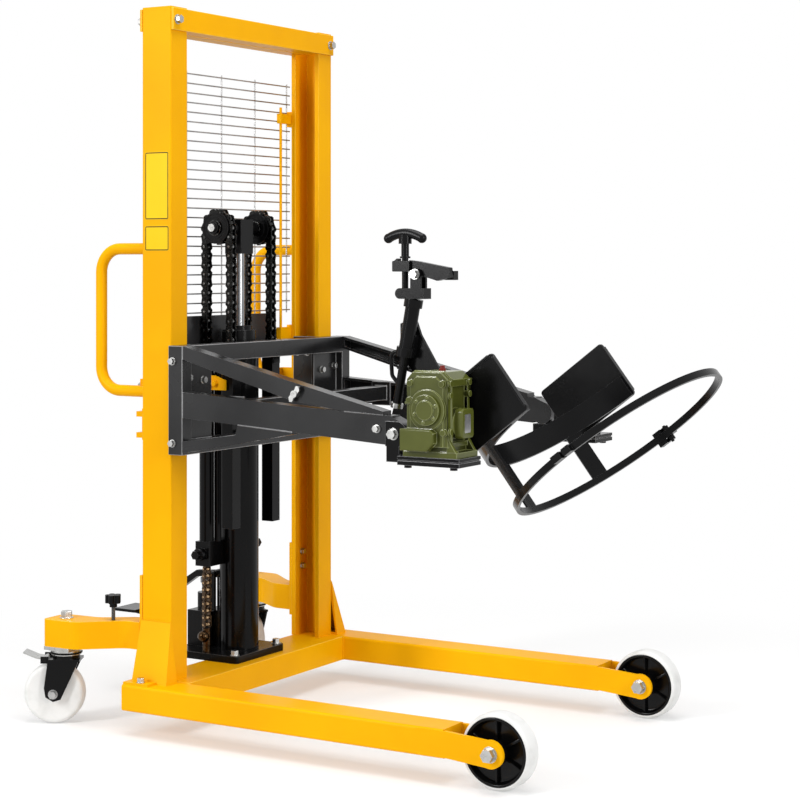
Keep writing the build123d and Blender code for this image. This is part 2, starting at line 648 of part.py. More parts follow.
# Carriage frame: two cross bars, end plates in front of the posts, and recessed shoulder plates that carry the
# guide plates between the posts.
SHOULDER_X = CAR_X0 + 15
SHOULDER_T = 8.0
carriage = box(CAR_X0, CAR_X1, -ARM_IN, ARM_IN, CAR_Z1 - 45, CAR_Z1)
carriage += box(CAR_X0, CAR_X1, -ARM_IN, ARM_IN, CAR_Z0, CAR_Z0 + 36)
for side in (-1, 1):
    y0, y1 = sorted((side * ARM_IN, side * ARM_OUT))
    carriage += box(CAR_X0, CAR_X1, y0, y1, CAR_Z0, CAR_Z1)
    y0, y1 = sorted((side * 296.0, side * 306.0))
    carriage += box(-30, SHOULDER_X + SHOULDER_T, y0, y1, CAR_Z0, CAR_Z1)
    y0, y1 = sorted((side * 244.0, side * ARM_IN))
    carriage += box(SHOULDER_X, SHOULDER_X + SHOULDER_T, y0, y1, CAR_Z0 + 36, CAR_Z1 - 45)
MEMBER_X0 = 214.0
MEMBER_X1 = 252.0
carriage += box(MEMBER_X0, MEMBER_X1, -ARM_IN + 6, ARM_IN - 6, 824, 864)
for side in (-1, 1):
    y0, y1 = sorted((side * (ARM_IN - 6), side * ARM_IN))
    carriage += box(MEMBER_X0 - 12, MEMBER_X1 + 12, y0, y1, 808, 876)
save("carriage_frame", carriage)

# Guide shoes slide in the posts.
SHOE_HALF = POST_HALF - POST_THICK - GAP
shoes = []
for z in (CAR_Z0 + 9, CAR_Z1 - 82):
    shoes += both(box(-SHOE_HALF, SHOE_HALF, -POST_OUT + POST_WEB + 8, -306, z, z + 70))
save("guide_shoes", group(shoes))


# Arms: three flanged bars that run together at the tip.
def inset(points, depth):
    moved = []
    count = len(points)
    for k in range(count):
        (ax, az), (bx, bz), (cx, cz) = points[k - 1], points[k], points[(k + 1) % count]
        d1 = (bx - ax) / math.hypot(bx - ax, bz - az), (bz - az) / math.hypot(bx - ax, bz - az)
        d2 = (cx - bx) / math.hypot(cx - bx, cz - bz), (cz - bz) / math.hypot(cx - bx, cz - bz)
        turn = 1 + d1[0] * d2[0] + d1[1] * d2[1]
        moved.append((bx + depth * (d1[1] + d2[1]) / turn, bz - depth * (d1[0] + d2[0]) / turn))
    return moved


def bar(points, hollow):
    pocket = side_plate(inset(hollow, ARM_WALL), -ARM_OUT + ARM_WALL, -ARM_IN + 1)
    return side_plate(points, -ARM_OUT, -ARM_IN) - pocket


TOP_BAR = [(98, 1002), (700, 858), (700, 840), (437, 874), (98, 968)]
TOP_HOLLOW = [(98, 1002), (590, 884.3), (590, 860), (437, 874), (98, 968)]
MID_BAR = [(98, 884), (461, 860), (725, 848), (716, 778), (461, 795), (98, 818)]
BRACE = [(98, 727), (98, 757), (265, 781), (279, 832), (435, 832), (435, 790)]
BRACE_HOLLOW = [(98, 727), (98, 757), (250, 778.8), (250, 755.4)]
arm = bar(TOP_BAR, TOP_HOLLOW) + bar(MID_BAR, MID_BAR)
arm += bar(BRACE, BRACE_HOLLOW) - side_plate(inset(MID_BAR, ARM_WALL), -ARM_OUT + ARM_WALL, -ARM_IN + 1)
arm += side_plate([(668, 846), (725, 846), (752, 834), (752, 782), (668, 784)], -ARM_OUT, -ARM_IN)
arm += along_y(LUG_X, LUG_Z, LUG_R, -ARM_OUT, -ARM_IN)
save("arm_far", far(arm))
SCREW_X = 452.0
SCREW_Z = 892.0
arm_near = arm - along_y(SCREW_X, SCREW_Z, 5 + RUN, -ARM_OUT - 1, -ARM_OUT + 12)
save("arm_near", arm_near)

# Wing screw in the near arm.
screw = along_y(SCREW_X, SCREW_Z, 5, -ARM_OUT - 12, -ARM_OUT + 10)
screw += along_y(SCREW_X, SCREW_Z, 9, -ARM_OUT - 16, -ARM_OUT - GAP)
for side in (-1, 1):
    wing_points = [(4, -6), (18, -2), (22, 8), (16, 13), (6, 7)]
    ear = side_plate(wing_points, -ARM_OUT - 14, -ARM_OUT - 9)
    screw += Pos(SCREW_X, 0, SCREW_Z) * Rot(0, 90 - 90 * side, 0) * ear
save("wing_screw", Pos(SCREW_X, 0, SCREW_Z) * Rot(0, -35, 0) * Pos(-SCREW_X, 0, -SCREW_Z) * screw)

# Front sleeves hold the moving run of each chain on the carriage.
front_sleeve = sleeve(STRAND_FRONT, 495, 965)
for z in (CAR_Z0 + 3, 935):
    front_sleeve += box(CAR_X0 - SLEEVE_PAD, CAR_X0, -WHEEL_Y - 14, -WHEEL_Y + 14, z, z + 30)
save("front_sleeves", group(both(front_sleeve)))

# Head platforms: a plate under each arm tip that carries the gearbox or the far bearing.
PLATFORM_X0 = 755.0
PLATFORM_X1 = 924.0
PLATFORM_OUT = 424.0
PLATFORM_Z1 = 756.0
PLATFORM_Z0 = PLATFORM_Z1 - PLATFORM_T
LUG_T = 8.0
LUG_REAR = 712.0
platform = box(PLATFORM_X0, PLATFORM_X1, -PLATFORM_OUT, -BOX_IN, PLATFORM_Z0, PLATFORM_Z1)
platform -= box(
    PLATFORM_X0 + 12, PLATFORM_X1 - 12, -PLATFORM_OUT + 12, -BOX_IN - 12, PLATFORM_Z0 - 1, PLATFORM_Z0 + 9
)
groove = box(
    PLATFORM_X0 - 1, PLATFORM_X1 + 1, -PLATFORM_OUT - 1, -BOX_IN + 1, PLATFORM_Z1 - 11, PLATFORM_Z1 - 8
)
groove -= box(PLATFORM_X0 + 2, PLATFORM_X1 - 2, -PLATFORM_OUT + 2, -BOX_IN - 2, PLATFORM_Z0, PLATFORM_Z1)
platform -= groove
for x in (PLATFORM_X0 + 22, PLATFORM_X1 - 22):
    platform += along_z(x, -PLATFORM_OUT + 14, 9, PLATFORM_Z0 - 7, PLATFORM_Z0 + 10)
platform += box(LUG_REAR + 3, PLATFORM_X0, -ARM_OUT - LUG_T, -ARM_IN - 2, PLATFORM_Z0 + 4, PLATFORM_Z1)
platform += box(LUG_REAR + 3, LUG_X + 26, -ARM_OUT, -ARM_IN - 2, PLATFORM_Z1, LUG_Z - LUG_R)
lug_plate = box(LUG_REAR, LUG_X, -ARM_OUT - LUG_T, -ARM_OUT, LUG_Z - LUG_R, LUG_Z + LUG_R)
lug_plate += along_y(LUG_X, LUG_Z, LUG_R, -ARM_OUT - LUG_T, -ARM_OUT)
lug_plate += box(LUG_REAR + 3, LUG_X + 8, -ARM_OUT - LUG_T, -ARM_OUT, PLATFORM_Z1, LUG_Z - LUG_R + 4)
platform += lug_plate
save("head_platforms", group(both(platform)))

# Worm gearbox: cast housing with a faced near side, ribs, bolt bosses and a footed base; covers; filler plug.
FACE = 4.0
BOSS_R = 8.0
BOX_Z0 = 782.0
FOOT_Z1 = PLATFORM_Z1 + FOOT_T
BEARING_R = 48.0
HOUSING_OUT = BOX_OUT - FACE


def near_face(margin, y0, y1):
    x0 = BOX_X0 + margin
    x1 = BOX_X1 - margin
    top_z = BOX_TOP - margin
    outline = [(x0, BOX_Z0), (x1, BOX_Z0), (x1, top_z - 18)]
    outline += [(x1 - 20, top_z), (x0 + 16, top_z), (x0, top_z - 18)]
    return side_plate(outline, y0, y1)


housing = near_face(0, -HOUSING_OUT, -BOX_IN)
housing -= box(BOX_X1 - 9, BOX_X1 + 1, -HOUSING_OUT + 14, -BOX_IN - 14, BOX_Z0 + 10, BOX_TOP - 34)
housing += near_face(-3, -HOUSING_OUT + 14, -HOUSING_OUT + 20)
housing += near_face(11, -BOX_OUT, -HOUSING_OUT)
housing += box(BOX_X0 + 6, BOX_X1 - 4, -HOUSING_OUT + 8, -BOX_IN, FOOT_Z1 - 2, BOX_Z0)
housing += box(PLATFORM_X0 + 14, PLATFORM_X1 - 8, -PLATFORM_OUT + 3, -BOX_IN, PLATFORM_Z1, FOOT_Z1)
for x in (PLATFORM_X0 + 26, PLATFORM_X1 - 20):
    housing += along_z(x, -PLATFORM_OUT + 15, 9, FOOT_Z1, FOOT_Z1 + 4)
for y in (-HOUSING_OUT + 9, -BOX_IN - 9):
    rib = [(BOX_X1 - 6, FOOT_Z1), (PLATFORM_X1 - 10, FOOT_Z1), (BOX_X1 - 6, BOX_Z0 + 26)]
    housing += side_plate(rib, y - 5, y + 5)
    for z in (BOX_Z0 + 36, BOX_TOP - 54, BOX_TOP - 26):
        housing += along_x(y, z, BOSS_R, BOX_X1 - 8, BOX_X1 + 6)
boss_places = [(BOX_X0 + 12, BOX_TOP - 27), (BOX_X1 - 14, BOX_TOP - 27)]
boss_places += [(BOX_X0 + 10, TILT_Z + 22), (BOX_X1 - 10, TILT_Z - 52)]
for x, z in boss_places:
    housing += along_y(x, z, BOSS_R, -BOX_OUT - 5, -HOUSING_OUT + 4)
housing += box(BOX_X0 - 2, BOX_X0 + 28, -BOX_OUT - 3, -HOUSING_OUT + 4, TILT_Z + 12, TILT_Z + 18)
housing += along_y(TILT_X, TILT_Z, BEARING_R, -BOX_OUT - 4, -HOUSING_OUT + 4)
worm_z = BOX_Z0 + 55
worm_y = -(BOX_OUT + BOX_IN) / 2
housing += along_x(worm_y, worm_z, 36, BOX_X1 - 12, BOX_X1 + 5)
worm_end = side_plate(
    [
        (BOX_X0 - 8, 772),
        (BOX_X0 + 64, 772),
        (BOX_X0 + 84, 792),
        (BOX_X0 + 84, 816),
        (BOX_X0 + 74, 824),
        (BOX_X0 - 8, 824),
    ],
    -BOX_OUT - 18,
    -HOUSING_OUT + 4,
)
housing += fillet(worm_end.faces().sort_by(Axis.Y)[0].edges(), 4)
housing -= along_y(TILT_X, TILT_Z, OUT_SHAFT_R + RUN, -BOX_OUT + 8, -BOX_IN + 1)
save("gearbox_housing", housing)

COVER_R = 37.0
cover_face = -BOX_OUT - 4
cover = along_y(TILT_X, TILT_Z, COVER_R, cover_face - 7, cover_face)
cover += along_y(TILT_X, TILT_Z, 23, cover_face - 11, cover_face)
for k in range(6):
    a = math.radians(60 * k + 20)
    cx = TILT_X + 30 * math.cos(a)
    cz = TILT_Z + 30 * math.sin(a)
    cover += along_y(cx, cz, 3.6, cover_face - 10, cover_face - 7)
cover -= box(BOX_X0, BOX_X0 + 86, cover_face - 20, cover_face + 1, 770, 824.5)
worm_face = BOX_X1 + 5
worm_cover = box(worm_face, worm_face + 21, worm_y - 28, worm_y + 28, worm_z - 35, worm_z + 35)
worm_cover = fillet(worm_cover.edges().filter_by(Axis.X), 9)
worm_cover = fillet(worm_cover.faces().sort_by(Axis.X)[-1].edges(), 3)
save("gearbox_covers", group(cover, worm_cover))

PLUG_X = BOX_X0 + 62
PLUG_Y = -BOX_IN - 46
plug = along_z(PLUG_X, PLUG_Y, 8, BOX_TOP, BOX_TOP + 6)
plug += Pos(PLUG_X, PLUG_Y, BOX_TOP + 6) * extrude(RegularPolygon(6.5, 6), 7)
save("filler_plug", plug)

# Far bearing: pedestal with a plain bore for the stub shaft.
pedestal = [(791, PLATFORM_Z1), (891, PLATFORM_Z1), (TILT_X + 42, TILT_Z), (TILT_X - 42, TILT_Z)]
bearing = side_plate(pedestal, 330, 390)
bearing += along_y(TILT_X, TILT_Z, 48, 330, 390)
bearing += box(776, 906, 330, 390, PLATFORM_Z1, PLATFORM_Z1 + 14)
bearing -= along_y(TILT_X, TILT_Z, STUB_R + RUN, 329, 391)
save("far_bearing", bearing)

# Tilting head: shafts and hubs, wing plates, rear yoke with half a hoop, and the hinged front half of it.
HUB_R = 34.0
WING_OUT = WING_IN + WING_T
near_shaft = along_y(0, 0, OUT_SHAFT_R, -BOX_OUT + 12, -WING_OUT)
near_shaft += along_y(0, 0, HUB_R, -WING_OUT - HUB_T, -WING_OUT)
far_shaft = along_y(0, 0, STUB_R, WING_OUT, 398) + along_y(0, 0, HUB_R, WING_OUT, WING_OUT + HUB_T)
save("tilt_shafts", head(group(near_shaft, far_shaft)))

WING_U0 = -60.0
WING_U1 = 166.0
WING_W0 = -122.0
WING_W1 = 42.0
LIP = 7.5
wing_plate = box(WING_U0, WING_U1, -WING_OUT, -WING_IN, WING_W0, WING_W1)
wing_plate = fillet(wing_plate.edges().filter_by(Axis.Y), 10)
wing_plate += box(WING_U0 + 12, WING_U1 - 12, -WING_OUT - LIP, -WING_OUT, WING_W1 - 6, WING_W1)
wing_plate += box(WING_U1 - 6, WING_U1, -WING_OUT - LIP, -WING_OUT, WING_W0 + 12, WING_W1 - 12)
save("wing_near", head(wing_plate))
save("wing_far", head(far(wing_plate)))

BAND_T = 8.0
BAND_W0 = WING_W0
BAND_W1 = WING_W0 + 60


def ring(r0, r1, w0, w1):
    tube = along_z(DRUM_U, 0, r1, w0, w1)
    return tube - along_z(DRUM_U, 0, r0, w0 - 1, w1 + 1)


rear = box(DRUM_U - 400, DRUM_U - GAP, -400, 400, -400, 100)
front = box(DRUM_U + GAP, DRUM_U + 400, -400, 400, -400, 100)
band_rear = box(DRUM_U - 400, WING_U1 - 6, -400, 400, -400, 100)
yoke_band = ring(HOOP_R, HOOP_R + BAND_T, BAND_W0, BAND_W1) & band_rear
fill = box(100, WING_U1 - 6, -WING_IN, WING_IN, BAND_W0, BAND_W1)
fill -= along_z(DRUM_U, 0, HOOP_R + 1, BAND_W0 - 1, BAND_W1 + 1)
HOOP_H = 18.0
hoop = ring(HOOP_R, HOOP_R + 10, HOOP_W - HOOP_H / 2, HOOP_W + HOOP_H / 2)
cradle = yoke_band + fill + (hoop & rear)
strap_ring = ring(HOOP_R + 1, HOOP_R + BAND_T - 1, HOOP_W, BAND_W0 + 10)
for angle in (130, 180, 230):
    strap = Pos(DRUM_U, 0, 0) * Rot(0, 0, angle) * box(200, 400, -22, 22, -400, 100)
    cradle += strap_ring & strap
KNUCKLE_Y = HOOP_R + 20
cradle += box(DRUM_U - 34, DRUM_U - 9, HOOP_R + 4, KNUCKLE_Y + 5, HOOP_W - 20, HOOP_W - 9)
cradle += box(DRUM_U - 34, DRUM_U - 9, HOOP_R + 4, KNUCKLE_Y + 5, HOOP_W + 9, HOOP_W + 20)
for w in (-20, 9):
    cradle += along_z(DRUM_U, KNUCKLE_Y, 10, HOOP_W + w, HOOP_W + w + 11)
    cradle += box(DRUM_U - 20, DRUM_U, KNUCKLE_Y - 5, KNUCKLE_Y + 5, HOOP_W + w, HOOP_W + w + 11)
cradle += box(DRUM_U - 34, DRUM_U - 20, HOOP_R + 4, KNUCKLE_Y + 5, HOOP_W - 20, HOOP_W + 20)
cradle += along_z(DRUM_U, KNUCKLE_Y, 4, HOOP_W - 24, HOOP_W + 24)
cradle += box(DRUM_U - 30, DRUM_U - 4, -HOOP_R - 26, -HOOP_R - 6, HOOP_W - 9, HOOP_W + 9)
save("cradle_yoke", head(cradle))

gate = hoop & front
gate += along_z(DRUM_U, KNUCKLE_Y, 10, HOOP_W - 8.5, HOOP_W + 8.5)
gate += box(DRUM_U, DRUM_U + 22, KNUCKLE_Y - 14, KNUCKLE_Y + 6, HOOP_W - 8.5, HOOP_W + 8.5)
gate += box(DRUM_U + 4, DRUM_U + 26, -HOOP_R - 26, -HOOP_R - 6, HOOP_W - 9, HOOP_W + 9)
gate -= along_z(DRUM_U, KNUCKLE_Y, 4 + RUN, HOOP_W - 30, HOOP_W + 30)
save("hoop_gate", head(gate))

# Rim clamp on the near wing: riser, column, clevis, lever with a hooked jaw and the T-handle screw.
CLAMP_Y = -326.0
COLUMN_X = 718.0
COLUMN_Z = 988.0
COLUMN_R = 18.0
COLUMN_LEAN = 10.6
COLUMN_L = 142.0
ROD_FOOT = -128.0
BLOCK_HALF = 17.0
BLOCK_LOW = 1128.0
BLOCK_TOP = 1154.0
PIVOT_CX = 757.0
PIVOT_CZ = 1188.0
PIVOT_R = 7.0
EYE_R = 14.0
SCREW_CX = 719.0
SCREW_R = 8.0
LEVER_HALF = 8.5
LEVER_TOP = 1226.0
LEVER_LOW = 1194.0
GRIP_R = 11.5
GRIP_HALF = 47.0
GRIP_Z = 1287.5
riser_outline = [(-48, WING_W1), (20, WING_W1), (34, 190), (48, 236), (4, 246), (-34, 196)]
riser = side_plate(riser_outline, -WING_OUT, -WING_IN)


def post_piece(r, z0, z1):
    return Pos(0, 0, z0) * Cylinder(r, z1 - z0, align=(Align.CENTER, Align.CENTER, Align.MIN))


column = post_piece(COLUMN_R, 0, COLUMN_L)
column += post_piece(COLUMN_R + 5, 0, 22) + post_piece(COLUMN_R + 5, COLUMN_L - 20, COLUMN_L)
column += post_piece(11, ROD_FOOT, 1) + post_piece(15, -32, -24) + post_piece(15, ROD_FOOT, ROD_FOOT + 12)
column += box(-20, 20, 0, -CLAMP_Y - WING_OUT, 4, 56)
column = Pos(COLUMN_X, CLAMP_Y, COLUMN_Z) * Rot(0, COLUMN_LEAN, 0) * column
block_mid = (BLOCK_LOW + BLOCK_TOP) / 2
column += box(SCREW_CX - 6, 782, CLAMP_Y - BLOCK_HALF, CLAMP_Y + BLOCK_HALF, BLOCK_LOW, BLOCK_TOP)
block_round = (BLOCK_TOP - BLOCK_LOW) / 2
column += along_y(SCREW_CX - 6, block_mid, block_round, CLAMP_Y - BLOCK_HALF, CLAMP_Y + BLOCK_HALF)
for side in (-1, 1):
    y0, y1 = sorted((side * (LEVER_HALF + GAP), side * BLOCK_HALF))
    column += box(PIVOT_CX - EYE_R, PIVOT_CX + EYE_R, CLAMP_Y + y0, CLAMP_Y + y1, BLOCK_TOP - 4, PIVOT_CZ)
    column += along_y(PIVOT_CX, PIVOT_CZ, EYE_R, CLAMP_Y + y0, CLAMP_Y + y1)
column += along_y(PIVOT_CX, PIVOT_CZ, PIVOT_R, CLAMP_Y - BLOCK_HALF - 2, CLAMP_Y + BLOCK_HALF + 2)
column += bolt_y(PIVOT_CX, CLAMP_Y - BLOCK_HALF, PIVOT_CZ, 19, -1)
loop = FilletPolyline(
    (716, CLAMP_Y, 1000), (678, CLAMP_Y, 998), (682, CLAMP_Y, 940), (707, CLAMP_Y, 914), radius=16
)
column += sweep(Plane(origin=loop @ 0, z_dir=loop % 0) * Circle(5), path=loop)
column -= along_z(SCREW_CX, CLAMP_Y, SCREW_R + RUN, BLOCK_LOW + 6, BLOCK_TOP + 1)
save("clamp_column", group(head(riser), column))

lever = side_plate(
    [
        (692, LEVER_LOW),
        (692, 1220),
        (700, LEVER_TOP),
        (760, 1219),
        (846, 1204),
        (850, 1180),
        (813, 1172),
        (735, LEVER_LOW),
    ],
    CLAMP_Y - LEVER_HALF,
    CLAMP_Y + LEVER_HALF,
)
lever += along_y(PIVOT_CX, PIVOT_CZ, EYE_R, CLAMP_Y - LEVER_HALF, CLAMP_Y + LEVER_HALF)
lever += box(820, 850, CLAMP_Y + LEVER_HALF, -296, 1174, 1196)
lever -= along_y(PIVOT_CX, PIVOT_CZ, PIVOT_R + RUN, CLAMP_Y - 20, CLAMP_Y + 20)
end_block = box(
    692, PIVOT_CX - EYE_R - 3, CLAMP_Y - BLOCK_HALF, CLAMP_Y + BLOCK_HALF, LEVER_LOW, LEVER_TOP - 6
)
end_block = fillet(end_block.edges().filter_by(Axis.Y), 3)
lever += end_block
lever -= box(SCREW_CX - 16, SCREW_CX + 16, CLAMP_Y - 9, CLAMP_Y + 9, LEVER_LOW - 20, LEVER_TOP + 20)
save("clamp_lever", lever)

t_screw = along_z(SCREW_CX, CLAMP_Y, SCREW_R, BLOCK_LOW + 8, GRIP_Z - 4)
t_screw += along_z(SCREW_CX, CLAMP_Y, 13, LEVER_TOP + GAP, LEVER_TOP + 5)
t_screw += along_z(SCREW_CX, CLAMP_Y, 9.5, LEVER_TOP + 5, GRIP_Z - 6)
t_screw += along_z(SCREW_CX, CLAMP_Y, 16, GRIP_Z - 26, GRIP_Z - 4)
grip_end = GRIP_Z - 12.5
grip_arc = ThreePointArc(
    (SCREW_CX - GRIP_HALF, CLAMP_Y, grip_end),
    (SCREW_CX, CLAMP_Y, GRIP_Z),
    (SCREW_CX + GRIP_HALF, CLAMP_Y, grip_end),
)
t_screw += sweep(Plane(origin=grip_arc @ 0, z_dir=grip_arc % 0) * Circle(GRIP_R), path=grip_arc)
for side in (-1, 1):
    t_screw += Pos(SCREW_CX + side * GRIP_HALF, CLAMP_Y, grip_end) * Sphere(GRIP_R + 0.6)
save("clamp_screw", t_screw)

# Bolts: mast bolts on the frame and bolts on the carriage.
frame_bolts = []
for z in (MAST_TOP - 34,):
    for y in (-POST_OUT + 18, POST_OUT - 18):
        frame_bolts += [bolt_x(POST_HALF + 7, y, z, 19, 1), bolt_x(-POST_HALF - 7, y, z, 19, -1)]
for z in (330, 372):
    frame_bolts += both(bolt_x(-POST_HALF - 8, -POST_OUT + 34, z, 19, -1))
    frame_bolts += both(bolt_x(-POST_HALF + POST_THICK, -POST_OUT + 34, z, 15, 1))
frame_bolts += both(bolt_z(2, -LEG_OUT + 20, LEG_Z1 + FOOT_PLATE, 17))
for x in (-142, 46):
    frame_bolts += both(bolt_z(x, -98, PLATE_TOP, 19))
frame_bolts += both(bolt_x(-90, -TIE_END + 11, TIE_Z, 15, -1))
frame_bolts += both(axle)
save("frame_bolts", group(frame_bolts))

carriage_bolts = both(bolt_y(LUG_X - 8, -ARM_OUT - LUG_T, LUG_Z, 21, -1))
carriage_bolts += both(bolt_y(684, -ARM_OUT, 816, 15, -1))
for z in (CAR_Z0 + 30, CAR_Z1 - 40):
    carriage_bolts += both(bolt_y(CAR_X0 + 14, -ARM_OUT, z, 15, -1))
for y, z in ((-346, CAR_Z1 - 84), (-283, CAR_Z1 - 93)):
    carriage_bolts += both(bolt_x(SHOULDER_X + SHOULDER_T, y, z, 15, 1))
for x in (20, -14):
    for z in (CAR_Z0 + 44, CAR_Z1 - 47):
        carriage_bolts += both(bolt_y(x, -296, z, 13, 1))
save("carriage_bolts", group(carriage_bolts))
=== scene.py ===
import math
import bmesh
import bpy
from mathutils import Matrix, Vector


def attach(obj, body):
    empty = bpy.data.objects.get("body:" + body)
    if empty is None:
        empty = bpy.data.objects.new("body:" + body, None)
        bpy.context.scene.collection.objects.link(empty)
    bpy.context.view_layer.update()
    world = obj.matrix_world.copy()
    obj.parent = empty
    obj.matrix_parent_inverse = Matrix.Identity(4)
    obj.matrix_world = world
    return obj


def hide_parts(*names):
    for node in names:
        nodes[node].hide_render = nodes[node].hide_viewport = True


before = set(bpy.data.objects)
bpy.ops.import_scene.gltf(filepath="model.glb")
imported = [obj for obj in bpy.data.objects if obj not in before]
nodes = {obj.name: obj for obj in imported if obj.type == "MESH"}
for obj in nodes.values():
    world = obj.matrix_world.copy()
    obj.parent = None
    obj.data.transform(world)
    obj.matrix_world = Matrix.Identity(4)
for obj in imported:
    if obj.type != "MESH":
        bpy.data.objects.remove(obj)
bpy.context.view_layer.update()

# Mast, base and handles: rolled channels, rectangular tube, bent tube and folded plate, welded up and
# shot with one thick coat of yellow enamel. The paint has a faint orange peel and rounds every edge. Its
# edges are painted paler as a highlight, and painted shade darkens it inside the channels.
crease = math.radians(38)


def noise_on(tree, scale, detail):
    where = tree.nodes.new("ShaderNodeTexCoord")
    noise = tree.nodes.new("ShaderNodeTexNoise")
    noise.inputs["Scale"].default_value = scale
    noise.inputs["Detail"].default_value = detail
    tree.links.new(where.outputs["Object"], noise.inputs["Vector"])
    return noise


def mottled(name, dull, bright, scale, detail, low, high):
    material = bpy.data.materials.new(name)
    material.use_nodes = True
    tree = material.node_tree
    noise = noise_on(tree, scale, detail)
    ramp = tree.nodes.new("ShaderNodeValToRGB")
    stops = ramp.color_ramp.elements
    stops[0].position = low
    stops[0].color = (*dull, 1)
    stops[1].position = high
    stops[1].color = (*bright, 1)
    tree.links.new(noise.outputs["Fac"], ramp.inputs["Fac"])
    tree.links.new(ramp.outputs["Color"], tree.nodes["Principled BSDF"].inputs["Base Color"])
    return material, noise


def vary_roughness(tree, noise, span, first, last):
    drift = tree.nodes.new("ShaderNodeMapRange")
    drift.inputs["From Min"].default_value = span[0]
    drift.inputs["From Max"].default_value = span[1]
    drift.inputs["To Min"].default_value = first
    drift.inputs["To Max"].default_value = last
    tree.links.new(noise.outputs["Fac"], drift.inputs["Value"])
    tree.links.new(drift.outputs["Result"], tree.nodes["Principled BSDF"].inputs["Roughness"])


def emboss(tree, noise, strength, depth):
    bump = tree.nodes.new("ShaderNodeBump")
    bump.inputs["Strength"].default_value = strength
    bump.inputs["Distance"].default_value = depth
    tree.links.new(noise.outputs["Fac"], bump.inputs["Height"])
    tree.links.new(bump.outputs["Normal"], tree.nodes["Principled BSDF"].inputs["Normal"])


def enamel(name, colour, shade, roughness, peel, gleam):
    material, cloud = mottled(name, shade, colour, scale=4.0, detail=4.0, low=0.34, high=0.62)
    tree = material.node_tree
    vary_roughness(tree, cloud, span=(0.3, 0.7), first=roughness - 0.05, last=roughness + 0.07)
    emboss(tree, noise_on(tree, peel, detail=2.0), strength=0.12, depth=0.0006)
    tree.nodes["Principled BSDF"].inputs["Specular IOR Level"].default_value = gleam
    return material


# Painted shade: blends the colour towards a darker one where the piece's own faces close in, in its
# corners, creases and channels.
def paint_corner_shade(material, reach, shade_colour, most_open):
    tree = material.node_tree
    corner_occlusion = tree.nodes.new("ShaderNodeAmbientOcclusion")
    corner_occlusion.samples = 8
    corner_occlusion.only_local = True
    corner_occlusion.inputs["Distance"].default_value = reach
    openness = tree.nodes.new("ShaderNodeMapRange")
    openness.inputs["From Max"].default_value = most_open
    shade_blend = tree.nodes.new("ShaderNodeMix")
    shade_blend.data_type = "RGBA"
    takes = {socket.identifier: socket for socket in shade_blend.inputs}
    gives = {socket.identifier: socket for socket in shade_blend.outputs}
    takes["A_Color"].default_value = (*shade_colour, 1)
    tree.links.new(corner_occlusion.outputs["AO"], openness.inputs["Value"])
    tree.links.new(openness.outputs["Result"], takes["Factor_Float"])
    tree.links.new(tree.nodes["Color Ramp"].outputs["Color"], takes["B_Color"])
    tree.links.new(gives["Result_Color"], tree.nodes["Principled BSDF"].inputs["Base Color"])


def dress(names, material, edge, round_by):
    for name in names:
        piece = nodes[name]
        mesh = piece.data
        mesh.materials.clear()
        mesh.materials.append(material)
        mesh.materials.append(edge)
        for normals in [a for a in mesh.attributes if a.name == "custom_normal"]:
            mesh.attributes.remove(normals)
        mesh.polygons.foreach_set("use_smooth", [True] * len(mesh.polygons))
        weld = piece.modifiers.new("weld", "WELD")
        weld.merge_threshold = 0.00002
        if round_by:
            join = piece.modifiers.new("join", "DECIMATE")
            join.decimate_type = "DISSOLVE"
            join.angle_limit = math.radians(0.6)
            bevel = piece.modifiers.new("edge", "BEVEL")
            bevel.width = round_by
            bevel.segments = 2
            bevel.limit_method = "ANGLE"
            bevel.angle_limit = math.radians(40)
            bevel.use_clamp_overlap = True
            # The bevel faces take the second material, which on most pieces is a paler copy painted on as
            # an edge highlight.
            bevel.material = 1
        split = piece.modifiers.new("split", "EDGE_SPLIT")
        split.split_angle = crease
        flat = piece.modifiers.new("flat", "WEIGHTED_NORMAL")
        flat.weight = 90
        flat.keep_sharp = True


yellow = enamel(
    "yellow_enamel", (0.96, 0.465, 0.001), (0.90, 0.415, 0.001), roughness=0.38, peel=420.0, gleam=0.06
)
# Painted shade: the yellow turns a deeper, darker orange in its own corners and inside the channels.
paint_corner_shade(yellow, reach=0.08, shade_colour=(0.50, 0.165, 0.0), most_open=0.84)
# Painted highlight: the rounded edges take this paler, glossier copy of the yellow.
yellow_highlight_edge = enamel(
    "yellow_enamel_highlight_edge", (1.0, 0.60, 0.05), (0.98, 0.53, 0.02), roughness=0.30, peel=420.0, gleam=0.22
)
base_names = ["base_cross_beam", "leg_near", "leg_far", "post_near", "post_far", "post_feet"]
upper_names = ["top_beam", "push_handles", "mast_brackets", "rear_arm_near", "rear_arm_far"]
dress(base_names + upper_names, yellow, yellow_highlight_edge, round_by=0.0016)

# Weld beads: the rippled fillets left where the handles meet the posts, the legs meet the cross beam and
# the rear arms meet their bracket plates. They are painted over with the frame.
middle_from_mast = 484.3
ripple = 0.0036


def at(x, y, z):
    return Vector(((x - middle_from_mast) / 1000, y / 1000, z / 1000))


def droplet(mesh, spot, radius):
    place = Matrix.Translation(spot)
    bmesh.ops.create_uvsphere(mesh, u_segments=8, v_segments=6, radius=radius, matrix=place)


def bead(mesh, start, end, radius):
    ripples = max(2, round((end - start).length / ripple))
    for k in range(ripples + 1):
        droplet(mesh, start.lerp(end, k / ripples), radius)


def ring_bead(mesh, centre, around, radius):
    ripples = round(math.tau * around / ripple)
    for k in range(ripples):
        turn = math.tau * k / ripples
        droplet(mesh, centre + Vector((0, around * math.cos(turn), around * math.sin(turn))), radius)


